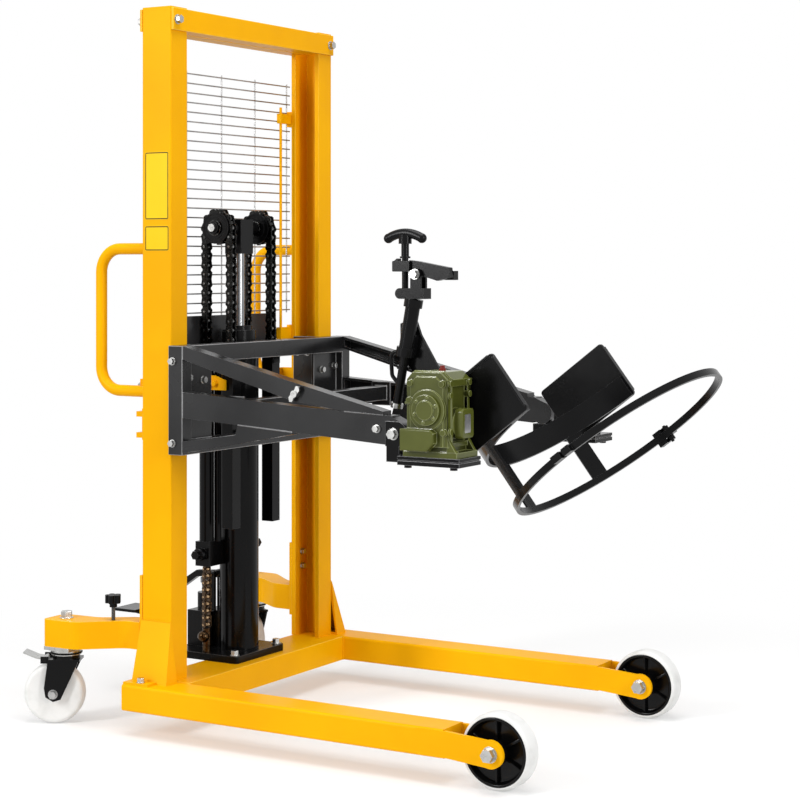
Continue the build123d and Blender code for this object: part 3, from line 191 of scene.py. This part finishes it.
def make(name, mesh, materials, body):
    bmesh.ops.recalc_face_normals(mesh, faces=mesh.faces)
    data = bpy.data.meshes.new(name)
    mesh.to_mesh(data)
    mesh.free()
    data.polygons.foreach_set("use_smooth", [True] * len(data.polygons))
    for material in materials:
        data.materials.append(material)
    piece = bpy.data.objects.new(name, data)
    bpy.context.scene.collection.objects.link(piece)
    split = piece.modifiers.new("split", "EDGE_SPLIT")
    split.split_angle = crease
    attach(piece, body)
    return piece


beads = bmesh.new()
for side in (-1, 1):
    for z in (878, 1252):
        ring_bead(beads, at(-48.0, side * 355, z), around=0.0161, radius=0.0027)
    bead(beads, at(96, side * 367, 67), at(96, side * 367, 129), radius=0.0028)
    bead(beads, at(-56.5, side * 377, 277), at(-56.5, side * 318, 277), radius=0.0026)
    bead(beads, at(-56.5, side * 380, 207), at(-56.5, side * 380, 274), radius=0.0024)
    bead(beads, at(-42, side * 381.8, 286), at(44, side * 381.8, 286), radius=0.0024)
make("weld_beads", beads, [yellow], "chassis")

# Sign plates: two thin foil plates with rounded corners, stuck on the outside of the near post. Each is
# lemon yellow inside a plain dark border and is left blank.
foil_yellow = enamel(
    "foil_yellow", (0.95, 0.62, 0.008), (0.92, 0.57, 0.006), roughness=0.30, peel=900.0, gleam=0.12
)
foil_black = enamel(
    "foil_border", (0.022, 0.018, 0.008), (0.014, 0.011, 0.006), roughness=0.34, peel=900.0, gleam=0.12
)
near_post_face = -381.6
foil_margin = 0.0012
foil_border = 0.0026


def rounded_sheet(width, height, corner):
    sheet = bmesh.new()
    corners = bmesh.ops.create_grid(sheet, x_segments=1, y_segments=1, size=0.5)["verts"]
    bmesh.ops.scale(sheet, verts=corners, vec=(width, height, 1))
    bmesh.ops.bevel(
        sheet, geom=corners, affect="VERTICES", offset=corner, segments=4, profile=0.5, material=-1
    )
    return sheet


def sign_plate(name, x0, x1, z0, z1):
    low = at(x0, near_post_face, z0)
    high = at(x1, near_post_face, z1)
    sheet = rounded_sheet(high.x - low.x, high.z - low.z, corner=0.005)
    middle = sheet.faces[:]
    for width, ink in ((foil_margin, 0), (foil_border, 1)):
        rim = bmesh.ops.inset_region(
            sheet, faces=middle, thickness=width, use_boundary=True, use_even_offset=True
        )
        for face in rim["faces"]:
            face.material_index = ink
    bmesh.ops.solidify(sheet, geom=sheet.faces[:], thickness=0.0004)
    bmesh.ops.rotate(sheet, verts=sheet.verts, matrix=Matrix.Rotation(math.radians(90), 3, "X"))
    bmesh.ops.translate(sheet, verts=sheet.verts, vec=(low + high) / 2)
    make(name, sheet, [foil_yellow, foil_black], "chassis")


sign_plate("sign_plate_upper", x0=-37, x1=40, z0=1327, z1=1503)
sign_plate("sign_plate_lower", x0=-37, x1=41, z0=1246, z1=1311)

# Load wheels: cast nylon tyres, off white and slightly waxy, shrunk on glossy black moulded hubs with a
# thick rim, a thin web and six ribs on each side. Each wheel runs on a bolt through the cheeks of its leg.
sides = ((-1, "near"), (1, "far"))
load_axle_x = 1029
load_axle_y = 418
load_axle_z = 90
tyre_half = ((80.8, 26.0), (82.4, 26.4), (85.0, 25.4), (87.6, 23.0), (89.3, 19.6), (89.98, 15.6))
boss_half = ((12.2, 38.0), (25.0, 38.0), (26.2, 37.0), (27.6, 13.0), (29.6, 10.6), (64.0, 9.0))
rim_half = ((69.0, 10.4), (71.6, 14.0), (73.2, 25.4), (74.2, 27.0), (75.8, 27.7), (78.4, 27.7))
hub_half = boss_half + rim_half + ((80.2, 27.1), (81.0, 25.8))
rib_size = (0.047, 0.011, 0.006)
rib_reach = 0.0497
rib_out = 0.0145
ribs_a_side = 6


def nylon(name, colour, shade, roughness, gleam):
    material, scuff = mottled(name, shade, colour, scale=22.0, detail=7.0, low=0.30, high=0.52)
    tree = material.node_tree
    vary_roughness(tree, scuff, span=(0.0, 1.0), first=roughness + 0.1, last=roughness - 0.05)
    emboss(tree, scuff, strength=0.1, depth=0.0005)
    tree.nodes["Principled BSDF"].inputs["Specular IOR Level"].default_value = gleam
    return material


def both_ends(half):
    return half + tuple((reach, -out) for reach, out in reversed(half))


def turned(mesh, outline, middle):
    ring = [mesh.verts.new(middle + Vector((reach / 1000, out / 1000, 0))) for reach, out in outline]
    loop = [mesh.edges.new((ring[k - 1], ring[k])) for k in range(len(ring))]
    bmesh.ops.spin(
        mesh, geom=ring + loop, cent=middle, axis=(0, 1, 0), angle=math.tau, steps=72, use_merge=True
    )
    bmesh.ops.remove_doubles(mesh, verts=mesh.verts, dist=0.00001)


white_nylon = nylon("white_nylon", (0.80, 0.80, 0.785), (0.70, 0.70, 0.68), roughness=0.40, gleam=0.4)
hub_nylon = nylon(
    "hub_nylon", (0.0035, 0.0035, 0.0038), (0.002, 0.002, 0.002), roughness=0.12, gleam=0.14
)
for side, label in sides:
    load_axle = at(load_axle_x, side * load_axle_y, load_axle_z)
    tyre = bmesh.new()
    turned(tyre, both_ends(tyre_half), load_axle)
    tyre_piece = make("load_tyre_" + label, tyre, [white_nylon], "load_wheel_" + label)
    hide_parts("load_tread_" + label)
    hub = bmesh.new()
    turned(hub, both_ends(hub_half), load_axle)
    for k in range(2 * ribs_a_side):
        rib = bmesh.ops.create_cube(hub, size=1.0)["verts"]
        bmesh.ops.scale(hub, verts=rib, vec=rib_size)
        bmesh.ops.translate(hub, verts=rib, vec=(rib_reach, rib_out * (-1) ** k, 0))
        rib_turn = Matrix.Rotation(math.tau / ribs_a_side * (k // 2 + 0.5), 4, "Y")
        bmesh.ops.transform(hub, matrix=Matrix.Translation(load_axle) @ rib_turn, verts=rib)
        edges = list({edge for corner in rib for edge in corner.link_edges})
        bmesh.ops.bevel(
            hub, geom=edges, affect="EDGES", offset=0.0014, segments=2, profile=0.5, material=-1
        )
    hub_piece = make("load_hub_dish_" + label, hub, [hub_nylon], "load_wheel_" + label)
    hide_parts("load_hub_" + label)

# Rear casters: one-piece nylon wheels, turned with round shoulders, in pressed black forks under a zinc
# plated race with a black seal. A pressed zinc pedal brakes each wheel, and a zinc bolt holds the axle.
swivel_x = -265
swivel_y = 425
seal_z = 186.5
caster_trail = 30
caster_axle_z = 80
caster_turn = math.radians(30)
fork_face = 0.033
caster_hub_half = ((6.4, 26.5), (17.4, 26.5), (18.2, 25.8), (18.8, 19.0), (20.8, 18.0))
caster_face_half = ((40.0, 18.6), (58.0, 20.4), (66.0, 21.8), (70.0, 22.0))
caster_tread_half = ((74.4, 20.8), (77.6, 18.0), (79.3, 14.2), (79.98, 9.6))
caster_half = caster_hub_half + caster_face_half + caster_tread_half
seal_half = ((39.6, 2.4), (41.2, 2.4), (42.0, 1.6))


def metal(name, colour, dull, roughness, streak):
    material, blotch = mottled(name, dull, colour, scale=streak, detail=5.0, low=0.32, high=0.62)
    tree = material.node_tree
    vary_roughness(tree, blotch, span=(0.0, 1.0), first=roughness * 0.75, last=roughness * 1.3)
    emboss(tree, blotch, strength=0.06, depth=0.0003)
    tree.nodes["Principled BSDF"].inputs["Metallic"].default_value = 1.0
    return material


def brighten(name, material, spot, outward, radius):
    mesh = nodes[name].data
    mesh.materials.append(material)
    for face in mesh.polygons:
        offset = face.center - spot
        height = offset.dot(outward)
        if height > 0.0001 and (offset - outward * height).length < radius:
            face.material_index = len(mesh.materials) - 1


black = enamel(
    "black_enamel", (0.0045, 0.0045, 0.0048), (0.0028, 0.0028, 0.0030),
    roughness=0.21, peel=500.0, gleam=0.12
)
# Painted highlight: the rounded edges of black parts take this paler copy of the black.
black_highlight_edge = enamel(
    "black_enamel_highlight_edge", (0.034, 0.034, 0.035), (0.018, 0.018, 0.019),
    roughness=0.26, peel=500.0, gleam=0.30
)
black_nylon = nylon(
    "black_nylon", (0.0045, 0.0045, 0.005), (0.003, 0.003, 0.003), roughness=0.38, gleam=0.09
)
zinc = metal("zinc_plate", (0.46, 0.46, 0.45), (0.38, 0.38, 0.37), roughness=0.28, streak=60.0)
# Painted highlight: the rounded edges of zinc parts take this paler copy of the zinc.
zinc_highlight_edge = metal("zinc_plate_highlight_edge", (0.64, 0.64, 0.63), (0.52, 0.52, 0.51), roughness=0.26, streak=60.0)
dress(["caster_fork_near", "caster_fork_far"], black, black_highlight_edge, round_by=0.0010)
dress(["caster_tops", "caster_brake_near", "caster_brake_far"], zinc, zinc_highlight_edge, round_by=0.0008)
for side, label in sides:
    axle_way = Vector((-math.sin(caster_turn), -side * math.cos(caster_turn), 0))
    axle_x = swivel_x - caster_trail * math.cos(caster_turn)
    axle_y = swivel_y + caster_trail * math.sin(caster_turn)
    caster_axle = at(axle_x, side * axle_y, caster_axle_z)
    for outward in (-axle_way, axle_way):
        brighten("caster_fork_" + label, zinc, caster_axle + outward * fork_face, outward, radius=0.020)
    roller = bmesh.new()
    turned(roller, both_ends(caster_half), caster_axle)
    toe = Matrix.Rotation(-side * caster_turn, 3, "Z")
    bmesh.ops.rotate(roller, cent=caster_axle, matrix=toe, verts=roller.verts)
    roller_piece = make("caster_tyre_" + label, roller, [white_nylon], "caster_" + label)
    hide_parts("caster_wheel_" + label)
    seat = at(swivel_x, side * swivel_y, seal_z)
    seal = bmesh.new()
    turned(seal, both_ends(seal_half), seat)
    upright = Matrix.Rotation(math.radians(90), 3, "X")
    bmesh.ops.rotate(seal, cent=seat, matrix=upright, verts=seal.verts)
    make("race_seal_" + label, seal, [black_nylon], "chassis")

# Arm knob: a star knob moulded in black nylon on a zinc plated stem. The stem is threaded and screws down
# into the near rear arm.
# Painted highlight: the rounded edges of the knob and the guide shoes take this paler copy of the black
# nylon.
black_nylon_highlight_edge = nylon(
    "black_nylon_highlight_edge", (0.020, 0.020, 0.021), (0.012, 0.012, 0.012), roughness=0.34, gleam=0.15
)
dress(["arm_knob"], black_nylon, black_nylon_highlight_edge, round_by=0.0016)
brighten("arm_knob", zinc, at(-137, -388, 276), Vector((0, 0, 1)), radius=0.0056)

# Wire guard: drawn steel wire, resistance welded into a mesh between two painted rods, with a black sheet
# below it that closes the space behind the cylinder.
wire = metal("bright_wire", (0.40, 0.40, 0.40), (0.24, 0.24, 0.24), roughness=0.30, streak=30.0)
dress(["wire_guard"], wire, wire, round_by=0.0)
for side in (-1, 1):
    brighten("wire_guard", yellow, at(-56, side * 270, 970), Vector((0, 0, 1)), radius=0.0046)
# The sheet is in the paler edge black throughout, painted light that lifts it where it sits in shade.
dress(["guard_panel"], black_highlight_edge, black_highlight_edge, round_by=0.0010)

# Lift cylinder: a drawn steel barrel on a thick base flange, with a gland nut at its mouth and chain
# sleeves beside it. Barrel and sleeves are in gloss black enamel, smoother than on the flange and gland.
gloss_black = enamel(
    "gloss_black_tube", (0.0035, 0.0035, 0.0038), (0.0020, 0.0020, 0.0022),
    roughness=0.11, peel=300.0, gleam=0.12
)
dress(["lift_cylinder", "rear_sleeves", "front_sleeves"], gloss_black, black_highlight_edge, round_by=0.0012)
dress(["base_flange", "cylinder_gland"], black, black_highlight_edge, round_by=0.0014)

# Pump: a cast block on the flange with a plunger that a foot pedal pushes. Block and pedal are in black
# enamel, and the plunger is ground bright.
chrome = metal("hard_chrome", (0.27, 0.275, 0.28), (0.21, 0.215, 0.22), roughness=0.07, streak=18.0)
dress(["pump_body", "pump_pedal"], black, black_highlight_edge, round_by=0.0012)
dress(["pump_plunger"], chrome, chrome, round_by=0.0006)

# Ram and yoke: a hard chromed rod that carries a machined block, with a shaft through it for the chain
# wheels. Bright retaining bolts close the shaft ends.
wheel_x = -10
wheel_z = 1310
dress(["piston_rod"], chrome, chrome, round_by=0.0008)
dress(["lift_yoke"], black, black_highlight_edge, round_by=0.0010)
for side in (-1, 1):
    brighten("lift_yoke", zinc, at(wheel_x, side * 123, wheel_z), Vector((0, side, 0)), radius=0.012)

# Lift chains: 25.4 mm roller chain over toothed wheels, waisted plates riveted on pins with rollers
# between, black with oil. Rollers, pins and wheel edges are painted paler grey as glints. Each chain runs
# down inside a sleeve front and rear.
oiled = metal("oiled_chain", (0.020, 0.020, 0.019), (0.007, 0.007, 0.007), roughness=0.26, streak=150.0)
oiled_glint = metal(
    "oiled_chain_glint", (0.22, 0.22, 0.215), (0.06, 0.06, 0.06), roughness=0.20, streak=150.0
)
dress(["chain_wheel_near", "chain_wheel_far"], oiled, oiled_glint, round_by=0.0007)
lane_y = 94
wheel_teeth = 10
half_wrap = wheel_teeth // 2
chain_pitch = 0.0254
wheel_radius = chain_pitch / (2 * math.sin(math.pi / wheel_teeth))
front_links = 19
rear_links = 26
plate_lanes = ((0.0064, 0.0091), (0.0095, 0.0119))
plate_end = 0.0117
waist = 0.66
roller_size = (0.0078, 0.0124)
rivet_size = (0.0036, 0.0262)


def chain_plate(mesh, start, end, across, thick, end_radius):
    run = end - start
    outline = bmesh.ops.create_circle(mesh, cap_ends=True, segments=16, radius=end_radius)["verts"]
    for v in outline:
        if abs(v.co.x) < 1e-5:
            v.co.y *= waist
        else:
            v.co.x += math.copysign(run.length / 2, v.co.x)
    face = outline[0].link_faces[0]
    grown = bmesh.ops.extrude_face_region(mesh, geom=[face])["geom"]
    far_face = [v for v in grown if isinstance(v, bmesh.types.BMVert)]
    bmesh.ops.translate(mesh, verts=far_face, vec=(0, 0, thick))
    along = run.normalized()
    pin_way = Vector((0, 1, 0))
    turn = Matrix((along, along.cross(pin_way) * -1, pin_way)).transposed().to_4x4()
    middle = (start + end) / 2 + Vector((0, across, 0))
    bmesh.ops.transform(mesh, matrix=Matrix.Translation(middle) @ turn, verts=outline + far_face)


def chain_barrel(mesh, centre, radius, length, facets):
    turn = Matrix.Translation(centre) @ Matrix.Rotation(math.radians(90), 4, "X")
    barrel = bmesh.ops.create_cone(
        mesh, cap_ends=True, segments=facets, radius1=radius, radius2=radius, depth=length, matrix=turn
    )["verts"]
    # Painted glints: rollers and pins take the chain's second, paler material.
    for face in {face for v in barrel for face in v.link_faces}:
        face.material_index = 1


def chain_run(mesh, pins, lanes, end_radius, roller, rivet):
    for k in range(len(pins) - 1):
        inner, outer = lanes[k % 2]
        chain_plate(mesh, pins[k], pins[k + 1], inner, outer - inner, end_radius)
        chain_plate(mesh, pins[k], pins[k + 1], -outer, outer - inner, end_radius)
    for centre in pins:
        chain_barrel(mesh, centre, roller[0], roller[1], facets=12)
        chain_barrel(mesh, centre, rivet[0], rivet[1], facets=8)


for side, label in sides:
    hub_centre = at(wheel_x, side * lane_y, wheel_z)
    spots = [(wheel_radius, -chain_pitch * k) for k in range(front_links, 0, -1)]
    for k in range(half_wrap + 1):
        turn = math.pi * k / half_wrap
        spots.append((wheel_radius * math.cos(turn), wheel_radius * math.sin(turn)))
    spots += [(-wheel_radius, -chain_pitch * k) for k in range(1, rear_links + 1)]
    pins = [hub_centre + Vector((x, 0, z)) for x, z in spots]
    links = bmesh.new()
    chain_run(links, pins, plate_lanes, plate_end, roller_size, rivet_size)
    chain = make("lift_chain_" + label, links, [oiled, oiled_glint], "piston")
    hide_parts("chain_" + label)

# Anchor chains: the fixed ends of the lift chains, finer roller chain browned with age, the rollers and
# pins painted pale gold as glints. Each hangs from its clamp block and is pinned to a forged ball lug that
# stands on the flange.
brown = metal("browned_chain", (0.085, 0.048, 0.022), (0.010, 0.008, 0.006), roughness=0.20, streak=190.0)
brown_glint = metal(
    "browned_chain_glint", (0.62, 0.42, 0.24), (0.12, 0.075, 0.04), roughness=0.18, streak=160.0
)
fine_pitch = 0.01905
fine_links = 8
fine_lanes = ((0.0054, 0.0079), (0.0083, 0.0108))
fine_end = 0.0092
fine_roller = (0.0060, 0.0106)
fine_rivet = (0.0030, 0.0240)
anchor_top_z = 378.5
anchor_twist = math.radians(20)
lug_stem_z = 0.1833
lug_ball_z = 0.194
lug_ball_back = 0.004
lug_ball_out = 0.009
anchors = bmesh.new()
for side in (-1, 1):
    top = at(wheel_x, side * lane_y, anchor_top_z) - Vector((wheel_radius, 0, 0))
    pins = [top - Vector((0, 0, fine_pitch * k)) for k in range(fine_links + 1)]
    built = set(anchors.verts)
    chain_run(anchors, pins, fine_lanes, fine_end, fine_roller, fine_rivet)
    strand = [v for v in anchors.verts if v not in built]
    twist = Matrix.Rotation(side * anchor_twist, 3, "Z")
    bmesh.ops.rotate(anchors, cent=top, matrix=twist, verts=strand)
    foot = Vector((top.x, top.y, 0))
    stem = Matrix.Translation(foot + Vector((0, 0, lug_stem_z)))
    bmesh.ops.create_cone(
        anchors, cap_ends=True, segments=24, radius1=0.012, radius2=0.0115, depth=0.0665, matrix=stem
    )
    ball = Matrix.Translation(foot + Vector((-lug_ball_back, side * lug_ball_out, lug_ball_z)))
    bmesh.ops.create_uvsphere(anchors, u_segments=24, v_segments=16, radius=0.0165, matrix=ball)
anchor_piece = make("anchor_links", anchors, [brown, brown_glint], "chassis")
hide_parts("anchor_chains")

# Wheel discs: turned steel cheeks with a raised rim, pressed on the hub each side of a chain wheel so that
# the chain can't climb off the teeth. They are painted black.
disc_rim = ((20.8, 13.4), (43.0, 13.4), (43.6, 14.0), (43.6, 16.0), (43.0, 16.6), (38.6, 16.6))
disc_web = ((37.4, 15.6), (30.0, 15.6), (29.0, 16.4), (20.8, 16.4))
for side, label in sides:
    discs = bmesh.new()
    for way in (-1, 1):
        outline = [(reach, way * out) for reach, out in disc_rim + disc_web]
        turned(discs, outline, at(wheel_x, side * lane_y, wheel_z))
    make("wheel_discs_" + label, discs, [black], "chain_wheel_" + label)

# Carriage and arms: plate and flat bar welded into a frame and two triangular arms, in satin charcoal
# enamel, with a painted highlight in pale grey along its edges. Black nylon shoes guide it in the posts.
charcoal = enamel(
    "charcoal_satin", (0.014, 0.014, 0.0145), (0.008, 0.008, 0.0085),
    roughness=0.24, peel=380.0, gleam=0.33
)
# Painted highlight: the rounded edges take this pale grey copy of the charcoal.
charcoal_highlight_edge = enamel(
    "charcoal_highlight_edge", (0.30, 0.30, 0.305), (0.15, 0.15, 0.152), roughness=0.26, peel=380.0, gleam=0.5
)
dress(["carriage_frame", "arm_near", "arm_far"], charcoal, charcoal_highlight_edge, round_by=0.0018)
dress(["guide_shoes"], black_nylon, black_nylon_highlight_edge, round_by=0.0008)
seams = bmesh.new()
for side in (-1, 1):
    bead(seams, at(274, side * 400, 806.8), at(436, side * 400, 796.6), radius=0.0022)
    bead(seams, at(592, side * 400, 853.8), at(700, side * 400, 849.2), radius=0.0018)
    bead(seams, at(99, side * 398.5, 969), at(99, side * 398.5, 1000), radius=0.0024)
    bead(seams, at(99, side * 398.5, 819), at(99, side * 398.5, 882), radius=0.0024)
# The weld seams are drawn in the pale grey edge enamel, a painted highlight along the arms.
make("arm_welds", seams, [charcoal_highlight_edge], "carriage")

# Bolts and wing screw: zinc plated hexagon bolts with washers on the mast, carriage and arm tips, and a
# cast wing screw in the near arm.
dress(["frame_bolts", "carriage_bolts", "wing_screw"], zinc, zinc_highlight_edge, round_by=0.0008)

# Worm gearbox on its platform: an iron casting with feet, ribs and bolt bosses under thick olive enamel,
# with a red filler plug on top and a blank aluminium plate riveted to the worm cover. The far end of the
# shaft runs in a black bearing block on a platform of its own.
olive = enamel(
    "olive_enamel", (0.106, 0.119, 0.021), (0.070, 0.080, 0.013), roughness=0.22, peel=90.0, gleam=0.24
)
# Painted highlight: the rounded edges of the casting take this paler, glossier copy of the olive.
olive_highlight_edge = enamel(
    "olive_enamel_highlight_edge", (0.22, 0.24, 0.085), (0.13, 0.145, 0.035), roughness=0.16, peel=130.0, gleam=0.6
)
red = enamel(
    "red_plug", (0.26, 0.022, 0.014), (0.18, 0.014, 0.009), roughness=0.40, peel=400.0, gleam=0.2
)
aluminium = metal("bare_aluminium", (0.78, 0.78, 0.79), (0.66, 0.66, 0.67), roughness=0.34, streak=240.0)
# Painted shade: the olive enamel goes black in the casting's own corners, creases and recesses.
paint_corner_shade(olive, reach=0.05, shade_colour=(0.0, 0.0, 0.0), most_open=1.0)
castings = ["gearbox_housing", "gearbox_covers"]
dress(castings, olive, olive_highlight_edge, round_by=0.0015)
for name in castings:
    nodes[name].modifiers["edge"].use_clamp_overlap = False
dress(["filler_plug"], red, red, round_by=0.0006)
dress(["far_bearing"], black, black_highlight_edge, round_by=0.0018)
dress(["head_platforms"], black, charcoal_highlight_edge, round_by=0.0014)
rivet_from_middle = 0.0182
plate = rounded_sheet(width=0.028, height=0.044, corner=0.003)
bmesh.ops.inset_region(plate, faces=plate.faces[:], thickness=0.0022, depth=-0.0002, use_boundary=True)
bmesh.ops.solidify(plate, geom=plate.faces[:], thickness=0.0006)
for end in (-1, 1):
    rivet = Matrix.Translation((0, end * rivet_from_middle, 0)) @ Matrix.Scale(0.5, 4, (0, 0, 1))
    bmesh.ops.create_uvsphere(plate, u_segments=14, v_segments=8, radius=0.0015, matrix=rivet)
facing = Matrix.Rotation(math.radians(90), 4, "Z") @ Matrix.Rotation(math.radians(90), 4, "X")
plate_place = Matrix.Translation(at(921.3, -377, 837))
bmesh.ops.transform(plate, matrix=plate_place @ facing, verts=plate.verts)
make("gearbox_plate", plate, [aluminium], "carriage")

# Tilting head: wing plates, yoke, hoop and gate cut and rolled from plate and bar, welded and pinned, in
# black enamel with a paler painted highlight along the edges.
head_names = ["tilt_shafts", "wing_near", "wing_far", "cradle_yoke", "hoop_gate"]
dress(head_names, black, black_highlight_edge, round_by=0.0014)

# Rim clamp: a turned column with a locking rod, a forged lever and a T-handle screw, black, with a bright
# pivot bolt and a bright ring at the foot of the rod.
dress(["clamp_column", "clamp_lever", "clamp_screw"], black, black_highlight_edge, round_by=0.0014)
brighten("clamp_column", zinc, at(757, -343, 1188), Vector((0, -1, 0)), radius=0.016)
rod_tilt = math.radians(10.6)
rod_drop = 0.115
lean = Vector((math.sin(rod_tilt), 0, math.cos(rod_tilt)))
brighten("clamp_column", zinc, at(718, -326, 988) - lean * rod_drop, -lean, radius=0.018)

# Stage: a pale floor that fades into a white surround, soft lamps above and to each side, and the camera
# at standing height in front of the near corner.
floor = bmesh.new()
bmesh.ops.create_grid(floor, x_segments=1, y_segments=1, size=40.0)
floor_mesh = bpy.data.meshes.new("studio_floor")
floor.to_mesh(floor_mesh)
floor.free()
ground = bpy.data.objects.new("studio_floor", floor_mesh)
bpy.context.scene.collection.objects.link(ground)


def show_white(tree, strength):
    rays = tree.nodes.new("ShaderNodeLightPath")
    mirror_ray = tree.nodes.new("ShaderNodeMath")
    mirror_ray.operation = "MAXIMUM"
    seen = tree.nodes.new("ShaderNodeMath")
    seen.operation = "MAXIMUM"
    level = tree.nodes.new("ShaderNodeMapRange")
    level.inputs["To Min"].default_value = 0.4
    level.inputs["To Max"].default_value = 1.0
    tree.links.new(rays.outputs["Is Glossy Ray"], mirror_ray.inputs[0])
    tree.links.new(rays.outputs["Is Transmission Ray"], mirror_ray.inputs[1])
    tree.links.new(rays.outputs["Is Camera Ray"], seen.inputs[0])
    tree.links.new(mirror_ray.outputs["Value"], seen.inputs[1])
    tree.links.new(seen.outputs["Value"], level.inputs["Value"])
    tree.links.new(level.outputs["Result"], strength)


paper = bpy.data.materials.new("studio_paper")
paper.use_nodes = True
paper_tree = paper.node_tree
sheet = paper_tree.nodes["Principled BSDF"]
sheet.inputs["Base Color"].default_value = (0.95, 0.95, 0.95, 1)
sheet.inputs["Roughness"].default_value = 0.6
sheet.inputs["Specular IOR Level"].default_value = 0.2
where = paper_tree.nodes.new("ShaderNodeTexCoord")
reach = paper_tree.nodes.new("ShaderNodeVectorMath")
reach.operation = "LENGTH"
fade = paper_tree.nodes.new("ShaderNodeMapRange")
fade.interpolation_type = "SMOOTHSTEP"
fade.inputs["From Min"].default_value = 0.9
fade.inputs["From Max"].default_value = 2.1
fade.inputs["To Min"].default_value = 0.35
far_white = paper_tree.nodes.new("ShaderNodeEmission")
far_white.inputs["Color"].default_value = (1, 1, 1, 1)
show_white(paper_tree, far_white.inputs["Strength"])
blend = paper_tree.nodes.new("ShaderNodeMixShader")
paper_tree.links.new(where.outputs["Object"], reach.inputs[0])
paper_tree.links.new(reach.outputs["Value"], fade.inputs["Value"])
paper_tree.links.new(fade.outputs["Result"], blend.inputs["Fac"])
paper_tree.links.new(sheet.outputs["BSDF"], blend.inputs[1])
paper_tree.links.new(far_white.outputs["Emission"], blend.inputs[2])
paper_tree.links.new(blend.outputs["Shader"], paper_tree.nodes["Material Output"].inputs["Surface"])
floor_mesh.materials.append(paper)

world = bpy.data.worlds.new("studio")
bpy.context.scene.world = world
world.use_nodes = True
back = world.node_tree.nodes["Background"]
back.inputs["Color"].default_value = (1, 1, 1, 1)
show_white(world.node_tree, back.inputs["Strength"])


def lamp(name, place, target, size, power):
    light = bpy.data.lights.new(name, "AREA")
    light.energy = power
    light.shape = "RECTANGLE"
    light.size = size[0]
    light.size_y = size[1]
    stand = bpy.data.objects.new(name, light)
    stand.location = place
    stand.rotation_euler = (Vector(target) - Vector(place)).to_track_quat("-Z", "Y").to_euler()
    bpy.context.scene.collection.objects.link(stand)


lamp("overhead", (0.2, -0.4, 4.8), target=(0, 0, 0.8), size=(2.8, 2.8), power=150)
lamp("left_front", (-2.4, -4.8, 2.6), target=(-0.2, 0, 0.9), size=(0.9, 2.8), power=165)
lamp("right_front", (4.8, -1.4, 2.2), target=(0.2, 0, 0.9), size=(0.8, 2.8), power=105)

camera = bpy.data.cameras.new("camera")
camera.lens = 88.14
camera.sensor_width = 36.0
camera.sensor_fit = "HORIZONTAL"
camera.shift_y = -0.1737
viewer = bpy.data.objects.new("camera", camera)
viewer.location = (2.6732, -4.4152, 1.2197)
viewer.rotation_euler = (math.radians(90), 0, math.radians(30.96))
bpy.context.scene.collection.objects.link(viewer)
bpy.context.scene.camera = viewer
bpy.context.scene.view_settings.view_transform = "Standard"
